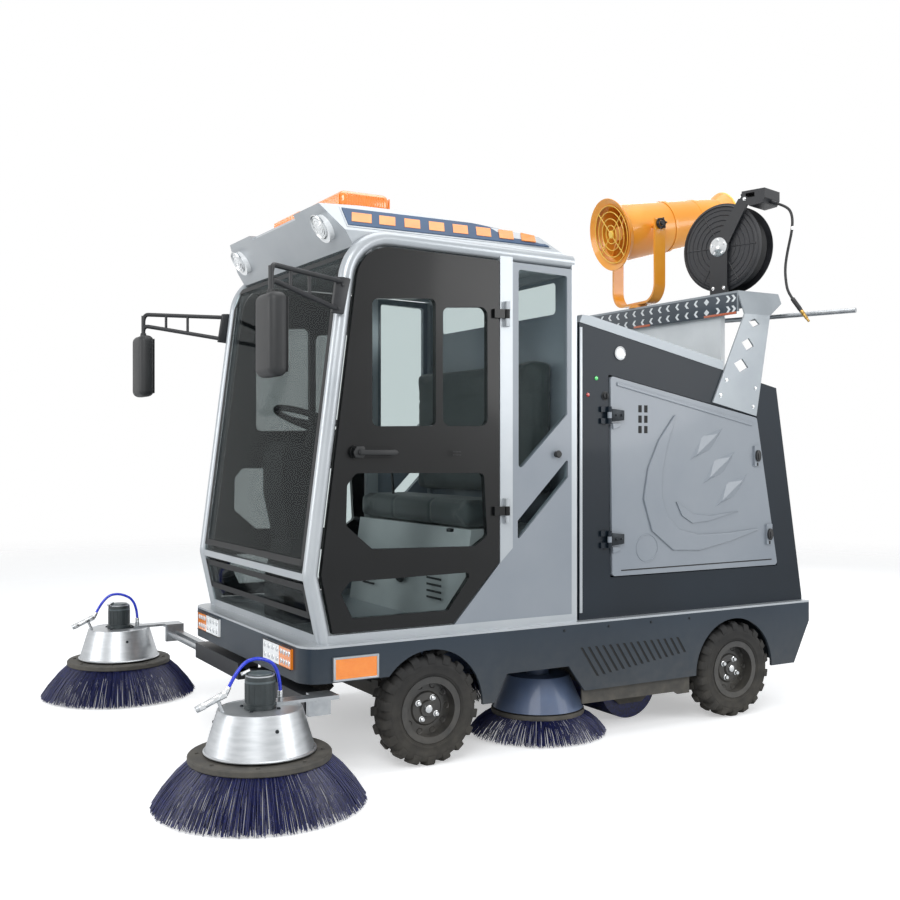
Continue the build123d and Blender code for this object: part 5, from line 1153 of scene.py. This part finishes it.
def build_cannon(sizes):
    """Wire guard, hub, flare ring, clamps and star knobs of the spray cannon."""
    centre, ahead, up = cannon_axes()
    across = up.cross(ahead).normalized()
    mouth = centre + ahead * GUARD_REACH
    wires = bmesh.new()
    for radius in (45, 78, 111, 141):
        ring = [
            mouth + (across * math.cos(turn) + up * math.sin(turn)) * radius for turn in angles(56)
        ]
        add_wires(wires, [ring], 2.4, cyclic=True, sides=2)
    for degrees in (35, 125, 215, 305):
        turn = math.radians(degrees)
        out = across * math.cos(turn) + up * math.sin(turn)
        add_rod(wires, mouth + out * 12, mouth + out * 143, 2.4, sides=10)
    add_turned(wires, [(0, 6), (16, 5), (20, 1), (20, -4), (0, -4)], mouth, ahead, steps=36, closed=False)
    finish_piece("cannon_guard", wires, "flare_yellow", "cannon_barrel")
    bm = bmesh.new()
    lip = [(143, 155), (150, 158), (166, 167), (176, 172), (178, 170), (168, 163), (150, 154)]
    add_turned(bm, lip, centre, ahead, steps=96)
    finish_piece("cannon_mouth_lip", bm, "cannon_orange", "cannon_barrel")
    bm = bmesh.new()
    flare = [
        (99, -470), (118, -514), (129.5, -528), (131, -532), (127, -534), (112, -518), (97.5, -474),
    ]
    add_turned(bm, flare, centre, ahead, steps=96)
    finish_piece("cannon_tail_flare", bm, "flare_yellow", "cannon_barrel")
    bm = bmesh.new()
    for reach, radius in ((-150, 126.0), (-330, 112.0)):
        band = rectangle(radius, -9, radius + 3.2, 9)
        add_turned(bm, band, centre + ahead * reach, ahead, steps=72)
    finish_piece("cannon_bands", bm, "cannon_orange", "cannon_barrel")
    bm = bmesh.new()
    for side in SIDES:
        out = across * side
        foot = centre + out * KNOB_REACH
        knob = [(0, 22), (10, 21), (13, 15), (13, 9), (26, 8), (26, 0), (0, 0)]
        add_turned(bm, knob, foot, out, steps=36, closed=False)
        for turn in angles(6):
            grip = ahead * math.cos(turn) + up * math.sin(turn)
            add_rod(bm, foot + out * 11 + grip * 20, foot + out * 11 + grip * 29, 6, tip=4, sides=12)
    finish_piece("cannon_knobs", bm, "moulded_black", "cannon_yoke")


# Middle of the hose drum, the heading of its axle in degrees, and the stand's outer face on the axle
REEL_CENTRE = (-1745, 352, 2096)
REEL_YAW = 15
STAND_FACE = 81


def build_reel(sizes):
    """Ridges of the drum's faces, the wound hose, and the hub plate and bolts of the stand."""
    yaw = math.radians(REEL_YAW)
    axle = Vector((math.cos(yaw), math.sin(yaw), 0))
    centre = Vector(REEL_CENTRE)
    across = Vector((-math.sin(yaw), math.cos(yaw), 0))
    bm = bmesh.new()
    for face in SIDES:
        for radius in (74, 98, 122, 146, 168, 188):
            ridge = [(radius, face * 60), (radius + 3, face * 64), (radius + 6, face * 60)]
            add_turned(bm, ridge, centre, axle, steps=96)
        for turn in angles(6):
            out = across * math.cos(turn) + Vector((0, 0, 1)) * math.sin(turn)
            inner = centre + axle * face * 60
            add_rod(bm, inner + out * 60, inner + out * 182, 4, sides=10)
    finish_piece("reel_ridges", bm, "reel_plastic", "reel_drum")
    bm = bmesh.new()
    for wound in range(7):
        place = centre + axle * (-39 + 13 * wound)
        add_turned(bm, [(174, -5.5), (179.5, 0), (174, 5.5)], place, axle, steps=72)
    finish_piece("reel_wound_hose", bm, "hose_black", "reel_drum")
    bm = bmesh.new()
    hub = centre + axle * 81.4
    plate = [(0, 9), (16, 9), (22, 6), (36, 5), (44, 2), (44, -0.8), (0, -0.8)]
    add_turned(bm, plate, hub, axle, steps=48, closed=False)
    for turn in angles(5, 0.3):
        out = across * math.cos(turn) + Vector((0, 0, 1)) * math.sin(turn)
        add_bolt(bm, hub + out * 33 + axle * 4, axle, 5, 5)
    for a, b in ((110, 214), (134, 202), (-28, -190), (28, -190)):
        point = centre + across * a + Vector((0, 0, b)) + axle * STAND_FACE
        add_bolt(bm, point, axle, 6, 5)
    finish_piece("reel_hub_bolts", bm, "bright_bolt", "vehicle")


# Cushions: voxel in metres, steps of the cloth, and how far a point may swell, in metres
VOXEL = 0.009
CLOTH_STEPS = 12
SWELL_CAP = 0.008


def cushion(name, low, high, body, seams):
    """Padded cushion: a rounded block puffed as cloth under pressure, with sewn channels after it.

    Each seam is (axis it lies across, its place, half its width, its depth).
    """
    bm = bmesh.new()
    low, high = Vector(low), Vector(high)
    inset = Vector((9, 9, 9))
    add_box(bm, low + inset, high - inset, 22, 4)
    made = finish_piece(name, bm, "seat_cloth", body, 180)
    remesh = made.modifiers.new("remesh", "REMESH")
    remesh.mode = "VOXEL"
    remesh.voxel_size = VOXEL
    remesh.use_smooth_shade = True
    mesh = bpy.data.meshes.new_from_object(made.evaluated_get(bpy.context.evaluated_depsgraph_get()))
    made.modifiers.clear()
    made.data = mesh
    mesh.materials.clear()
    mesh.materials.append(MATERIALS["seat_cloth"])
    start = [vert.co.copy() for vert in mesh.vertices]
    cloth = made.modifiers.new("cloth", "CLOTH")
    cloth.settings.use_pressure = True
    cloth.settings.uniform_pressure_force = 4.0
    cloth.settings.effector_weights.gravity = 0.0
    cloth.settings.quality = 4
    for frame_number in range(1, CLOTH_STEPS + 1):
        bpy.context.scene.frame_set(frame_number)
    puffed = bpy.data.meshes.new_from_object(made.evaluated_get(bpy.context.evaluated_depsgraph_get()))
    bpy.context.scene.frame_set(1)
    made.modifiers.clear()
    made.data = puffed
    for vert, rest in zip(puffed.vertices, start):
        moved = vert.co - rest
        if moved.length > SWELL_CAP:
            vert.co = rest + moved.normalized() * SWELL_CAP
    mesh = made.data
    middle = (low + high) / 2 * MM
    for vert in mesh.vertices:
        for axis, place, width, depth in seams:
            away = abs(vert.co[axis] - place * MM) / (width * MM)
            if away < 1:
                pull = depth * MM * (1 - away) ** 2
                toward = middle - vert.co
                toward[axis] = 0
                if toward.length:
                    vert.co += toward.normalized() * pull
    mesh.shade_smooth()
    return made


def build_seat(sizes):
    """Bench and backrest cushions with sewn channels, and the latch and holes of the seat shell."""
    bench = cushion(
        "seat_bench", (-525, -490, 850), (-235, 490, 962), "vehicle", ((1, -165, 14, 6), (1, 165, 14, 6))
    )
    back = cushion(
        "seat_back", (-668, -490, 966), (-532, 490, 1530), "vehicle",
        ((2, 1110, 13, 6), (2, 1250, 13, 6), (2, 1390, 13, 6)),
    )
    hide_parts("seat_cushions")
    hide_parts("seat_cushions")
    bm = bmesh.new()
    for side in SIDES:
        for step in range(5):
            z = 560 + 26 * step
            add_box(bm, (-200.6, side * 300 - 60, z), (-198.6, side * 300 + 60, z + 9), 0.5)
    add_turned(bm, [(0, 4), (40, 4), (52, 2), (54, -1)], (-200, 0, 650), (1, 0, 0), steps=48, closed=False)
    finish_piece("seat_shell_vents", bm, "moulded_black", "vehicle")
    bm = bmesh.new()
    for side in SIDES:
        add_box(bm, (-210, side * 430 - 14, 838), (-190, side * 430 + 14, 852), 3)
    add_rod(bm, (-300, -250, 962), (-292, -250, 1060), 6, sides=20)
    ball = [(0, 30), (12, 28), (18, 18), (16, 4), (8, 0)]
    add_turned(bm, ball, (-291, -250, 1058), (0, 0, 1), steps=32, closed=False)
    finish_piece("seat_lever", bm, "moulded_black", "vehicle")


def build_mirrors(sizes):
    """Mirror arms as tube loops and rounded mirror heads with their glass."""
    arms, heads, glass, frames = bmesh.new(), bmesh.new(), bmesh.new(), bmesh.new()
    for side in SIDES:
        y_head = side * 790
        corner = side * 787
        root = side * 621
        plate = ((345, 1768), (318, 1764), (346, 1636), (392, 1640), (372, 1766))
        add_prism(arms, [(x, side * 610.4, z) for x, z in plate], (0, side * 16.6, 0), 3)
        for points in (
            [(352, root, 1752), (640, side * 764, 1761.5), (676, side * 786, 1763), (678, corner, 1730)],
            [(372, root, 1655), (640, side * 766, 1706), (676, side * 786, 1712), (678, corner, 1690)],
        ):
            add_wires(arms, [points], 9, smooth=True, sides=3)
        add_rod(arms, (678, corner, 1757), (678, corner, 1650), 9, sides=20)
        for x, y, high, low in ((505, 695, 1757, 1678), (590, 738, 1760, 1696)):
            add_rod(arms, (x, side * y, high), (x, side * y, low), 6, sides=16)
        for x, z in ((350, 1740), (365, 1655)):
            add_bolt(arms, (x, side * 627, z), (0, side, 0), 6, 5)
        low, high = sorted_corners((645, y_head - 75, 1395), (712, y_head + 75, 1667))
        add_box(heads, low, high, 27, 6)
        add_rod(heads, (678, corner, 1662), (678, corner, 1680), 15, tip=12, sides=28, bevel=2)
        add_box(glass, (642.6, y_head - 58, 1416), (646.5, y_head + 58, 1646), 2)
        add_box(frames, (643.4, y_head - 64, 1410), (648, y_head + 64, 1652), 2)
    finish_piece("mirror_arms", arms, "frame_black", "vehicle")
    shell = finish_piece("mirror_heads", heads, "moulded_black", "vehicle", 60)
    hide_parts("mirrors")
    finish_piece("mirror_frames", frames, "seal_rubber", "vehicle")
    finish_piece("mirror_glass", glass, "mirror_silver", "vehicle")


def build_light_bar(sizes):
    """Amber light bar: two domes on a raised middle, with ribs inside the clear shape."""
    bm = bmesh.new()
    for low, high in (
        ((16, -346, 2072), (234, -78, 2150)), ((16, 78, 2072), (234, 346, 2150)),
        ((34, -90, 2070), (216, 90, 2134)),
    ):
        add_box(bm, low, high, 30, 6)
    shell = finish_piece("light_bar_domes", bm, "amber_lens", "vehicle", 60)
    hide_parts("light_bar")
    bm = bmesh.new()
    add_box(bm, (22, -340, 2061), (228, 340, 2076), 5, 3)
    for y in (-300, 300):
        add_box(bm, (60, y - 24, 2052), (190, y + 24, 2064), 2)
    finish_piece("light_bar_base", bm, "amber_lens", "vehicle")
    bm = bmesh.new()
    for side in SIDES:
        for step in range(22):
            y = side * (92 + 240 * step / 21)
            for x in (17.5, 232.5):
                add_rod(bm, (x, y, 2088), (x, y, 2134), 3, sides=8)
        for step in range(16):
            x = 48 + 154 * step / 15
            add_rod(bm, (x, side * 344.5, 2088), (x, side * 344.5, 2134), 3, sides=8)
    finish_piece("light_bar_ribs", bm, "amber_lens", "vehicle")


def build_glazing(sizes):
    """Black borders of the windscreen, and the handles and knobs of doors and quarter panes."""
    bm = bmesh.new()

    def on_glass(y, z):
        return touch("cab_glass", (900, y, z), (-1, 0, 0))

    def half_width(z):
        """Half the width of the front glass at a height."""
        for y in range(598, 300, -2):
            try:
                if on_glass(y, z).x > 200:
                    return y - 1
            except RuntimeError:
                continue
        raise RuntimeError(f"no front glass at {z}")

    lift = Vector((0.3, 0, 0))
    for low, high in ((748, 1872), (560, 684)):
        rows = 12
        heights = [low + (high - low) * step / rows for step in range(rows + 1)]
        halves = [half_width(z) for z in heights]
        for z0, z1, h0, h1 in zip(heights, heights[1:], halves, halves[1:]):
            for side in SIDES:
                corners = ((h0, z0), (h1, z1), (h1 - 24, z1), (h0 - 24, z0))
                add_prism(bm, [on_glass(side * y, z) + lift for y, z in corners], (1.2, 0, 0), 0)
        for edge, way, half in ((low, 1, halves[0]), (high, -1, halves[-1])):
            corners = ((-half, edge), (half, edge), (half, edge + 24 * way), (-half, edge + 24 * way))
            add_prism(bm, [on_glass(y, z) + lift for y, z in corners], (1.2, 0, 0), 0)
    finish_piece("windscreen_border", bm, "seal_rubber", "vehicle")
    for side in SIDES:
        hand = HAND[side]
        bm = bmesh.new()
        point = on_side(f"door_{hand}", side, 200, 1148)
        y = point.y
        rose = ((304, 1132), (312, 1150), (298, 1172), (270, 1172), (262, 1150), (272, 1130))
        add_prism(bm, [(x, y, z) for x, z in rose], (0, side * 7, 0), 2)
        lever = ((290, 1160), (290, 1142), (150, 1140), (138, 1150), (150, 1160))
        add_prism(bm, [(x, y + side * 12, z) for x, z in lever], (0, side * 9, 0), 3)
        add_rod(bm, (284, y, 1151), (284, y + side * 16, 1151), 11, sides=28, bevel=1)
        for step in range(6):
            x = -100 - 6 * step
            for z in (1140, 1152):
                add_rod(bm, (x, y - side, z), (x, y + side * 0.8, z), 2, sides=10)
        finish_piece(f"door_handle_{hand}", bm, "moulded_black", f"door_{hand}")
        bm = bmesh.new()
        knob = on_side("cab_panels", side, -583, 1100)
        knob.z = 1142
        profile = [(0, 22), (12, 21), (15, 16), (12, 8), (12, -2)]
        add_turned(bm, profile, knob, (0, side, 0), steps=32, closed=False)
        finish_piece(f"quarter_knob_{hand}", bm, "moulded_black", "vehicle")


# Add-on

class SweeperSizes(bpy.types.PropertyGroup):
    """Sizes and counts of the visual pieces."""

    floor_radius: bpy.props.FloatProperty(
        name="Floor radius", description="Radius of the pale floor", default=11.0, unit="LENGTH",
        subtype="DISTANCE",
    )
    fill_strength: bpy.props.FloatProperty(
        name="Fill", description="Strength of the white surround as a light", default=0.5
    )
    key_power: bpy.props.FloatProperty(
        name="Key light", description="Power of the main soft light", default=185.0
    )
    lens: bpy.props.FloatProperty(
        name="Lens", description="Focal length on a 36 mm sensor, in millimetres", default=44.49
    )
    camera_yaw: bpy.props.FloatProperty(
        name="Camera heading", description="Heading of the camera in degrees from +X", default=-120.095
    )
    hose_radius: bpy.props.FloatProperty(
        name="Hose radius", description="Radius of every hose, in millimetres", default=6.0
    )
    tyre_lugs: bpy.props.IntProperty(
        name="Tyre lugs", description="Lugs in each row of a tyre", default=18
    )
    bristle_rows: bpy.props.IntProperty(
        name="Bristles", description="Bristles in the outer row of a front brush", default=520
    )
    bristle_radius: bpy.props.FloatProperty(
        name="Bristle radius", description="Half the thickness of a bristle, in millimetres", default=1.25
    )


class SweeperStep:
    """What every operator shares: it runs its builder with the scene's sizes."""

    bl_options = {"REGISTER", "UNDO"}

    def execute(self, context):
        self.build(context.scene.sweeper_sizes)
        return {"FINISHED"}


class SWEEPER_OT_stage(SweeperStep, bpy.types.Operator):
    """Floor, lights, surround and camera."""

    bl_idname = "sweeper.stage"
    bl_label = "Stage and camera"
    build = staticmethod(build_stage)


class SWEEPER_OT_finishes(SweeperStep, bpy.types.Operator):
    """Procedural finishes of the CAD nodes."""

    bl_idname = "sweeper.finishes"
    bl_label = "CAD finishes"
    build = staticmethod(build_finishes)


class SWEEPER_OT_hoses(SweeperStep, bpy.types.Operator):
    """Brush hoses and the reel's hose."""

    bl_idname = "sweeper.hoses"
    bl_label = "Hoses"
    build = staticmethod(build_hoses)


class SWEEPER_OT_tyres(SweeperStep, bpy.types.Operator):
    """Block-tread tyres."""

    bl_idname = "sweeper.tyres"
    bl_label = "Tyres"
    build = staticmethod(build_tyres)


class SWEEPER_OT_wheel_trim(SweeperStep, bpy.types.Operator):
    """Wheel bolts, hub caps and hole lips."""

    bl_idname = "sweeper.wheel_trim"
    bl_label = "Wheel trim"
    build = staticmethod(build_wheel_trim)


class SWEEPER_OT_front_brushes(SweeperStep, bpy.types.Operator):
    """Carrier rings and bristles of the front brushes."""

    bl_idname = "sweeper.front_brushes"
    bl_label = "Front brushes"
    build = staticmethod(build_front_brushes)


class SWEEPER_OT_mid_brushes(SweeperStep, bpy.types.Operator):
    """Carriers and bristles of the middle brushes."""

    bl_idname = "sweeper.mid_brushes"
    bl_label = "Middle brushes"
    build = staticmethod(build_mid_brushes)


class SWEEPER_OT_brush_hoods(SweeperStep, bpy.types.Operator):
    """Motors, beads, bolts and nozzles of the front hoods."""

    bl_idname = "sweeper.brush_hoods"
    bl_label = "Brush hoods"
    build = staticmethod(build_brush_hoods)


class SWEEPER_OT_roof(SweeperStep, bpy.types.Operator):
    """Roof side panels and stripes."""

    bl_idname = "sweeper.roof"
    bl_label = "Roof"
    build = staticmethod(build_roof)


class SWEEPER_OT_lamps(SweeperStep, bpy.types.Operator):
    """Lamp diodes, rims, marker frames and work lamps."""

    bl_idname = "sweeper.lamps"
    bl_label = "Lamps"
    build = staticmethod(build_lamps)


class SWEEPER_OT_hatch_relief(SweeperStep, bpy.types.Operator):
    """Pressings, vents, latches and hinges of the hatches."""

    bl_idname = "sweeper.hatch_relief"
    bl_label = "Hatch relief"
    build = staticmethod(build_hatch_relief)


class SWEEPER_OT_body_details(SweeperStep, bpy.types.Operator):
    """Edge strips, side lamps, lights and switches."""

    bl_idname = "sweeper.body_details"
    bl_label = "Body details"
    build = staticmethod(build_body_details)


class SWEEPER_OT_louvres(SweeperStep, bpy.types.Operator):
    """Louvre slots and lips of the skirts."""

    bl_idname = "sweeper.louvres"
    bl_label = "Louvres"
    build = staticmethod(build_louvres)


class SWEEPER_OT_platform(SweeperStep, bpy.types.Operator):
    """Flange arrows, tape and leg bolts."""

    bl_idname = "sweeper.platform"
    bl_label = "Platform"
    build = staticmethod(build_platform)


class SWEEPER_OT_cannon(SweeperStep, bpy.types.Operator):
    """Guard, flares, bands and knobs of the cannon."""

    bl_idname = "sweeper.cannon"
    bl_label = "Cannon"
    build = staticmethod(build_cannon)


class SWEEPER_OT_reel(SweeperStep, bpy.types.Operator):
    """Drum ridges, wound hose and hub bolts of the reel."""

    bl_idname = "sweeper.reel"
    bl_label = "Reel"
    build = staticmethod(build_reel)


class SWEEPER_OT_seat(SweeperStep, bpy.types.Operator):
    """Padded bench and backrest, shell vents and lever."""

    bl_idname = "sweeper.seat"
    bl_label = "Seat"
    build = staticmethod(build_seat)


class SWEEPER_OT_mirrors(SweeperStep, bpy.types.Operator):
    """Mirror arms, heads and glass."""

    bl_idname = "sweeper.mirrors"
    bl_label = "Mirrors"
    build = staticmethod(build_mirrors)


class SWEEPER_OT_light_bar(SweeperStep, bpy.types.Operator):
    """Amber domes, base and ribs."""

    bl_idname = "sweeper.light_bar"
    bl_label = "Light bar"
    build = staticmethod(build_light_bar)


class SWEEPER_OT_glazing(SweeperStep, bpy.types.Operator):
    """Windscreen borders, door handles and knobs."""

    bl_idname = "sweeper.glazing"
    bl_label = "Glazing"
    build = staticmethod(build_glazing)


STEPS = (
    SWEEPER_OT_stage,
    SWEEPER_OT_finishes,
    SWEEPER_OT_hoses,
    SWEEPER_OT_tyres,
    SWEEPER_OT_wheel_trim,
    SWEEPER_OT_front_brushes,
    SWEEPER_OT_mid_brushes,
    SWEEPER_OT_brush_hoods,
    SWEEPER_OT_roof,
    SWEEPER_OT_lamps,
    SWEEPER_OT_hatch_relief,
    SWEEPER_OT_body_details,
    SWEEPER_OT_louvres,
    SWEEPER_OT_platform,
    SWEEPER_OT_cannon,
    SWEEPER_OT_reel,
    SWEEPER_OT_seat,
    SWEEPER_OT_mirrors,
    SWEEPER_OT_light_bar,
    SWEEPER_OT_glazing,
)


class SWEEPER_PT_panel(bpy.types.Panel):
    """Sizes and steps of the sweeper's dressing."""

    bl_label = "Road Sweeper"
    bl_idname = "SWEEPER_PT_panel"
    bl_space_type = "VIEW_3D"
    bl_region_type = "UI"
    bl_category = "Sweeper"

    def draw(self, context):
        sizes = context.scene.sweeper_sizes
        for name in SweeperSizes.__annotations__:
            self.layout.prop(sizes, name)
        for step in STEPS:
            self.layout.operator(step.bl_idname)


CLASSES = (SweeperSizes, *STEPS, SWEEPER_PT_panel)


def register():
    for item in CLASSES:
        bpy.utils.register_class(item)
    bpy.types.Scene.sweeper_sizes = bpy.props.PointerProperty(type=SweeperSizes)


def unregister():
    del bpy.types.Scene.sweeper_sizes
    for item in reversed(CLASSES):
        bpy.utils.unregister_class(item)


def main():
    """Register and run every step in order."""
    register()
    make_materials()
    for step in STEPS:
        getattr(bpy.ops.sweeper, step.bl_idname.partition(".")[2])()
    bpy.context.view_layer.update()


if __name__ == "__main__":
    main()
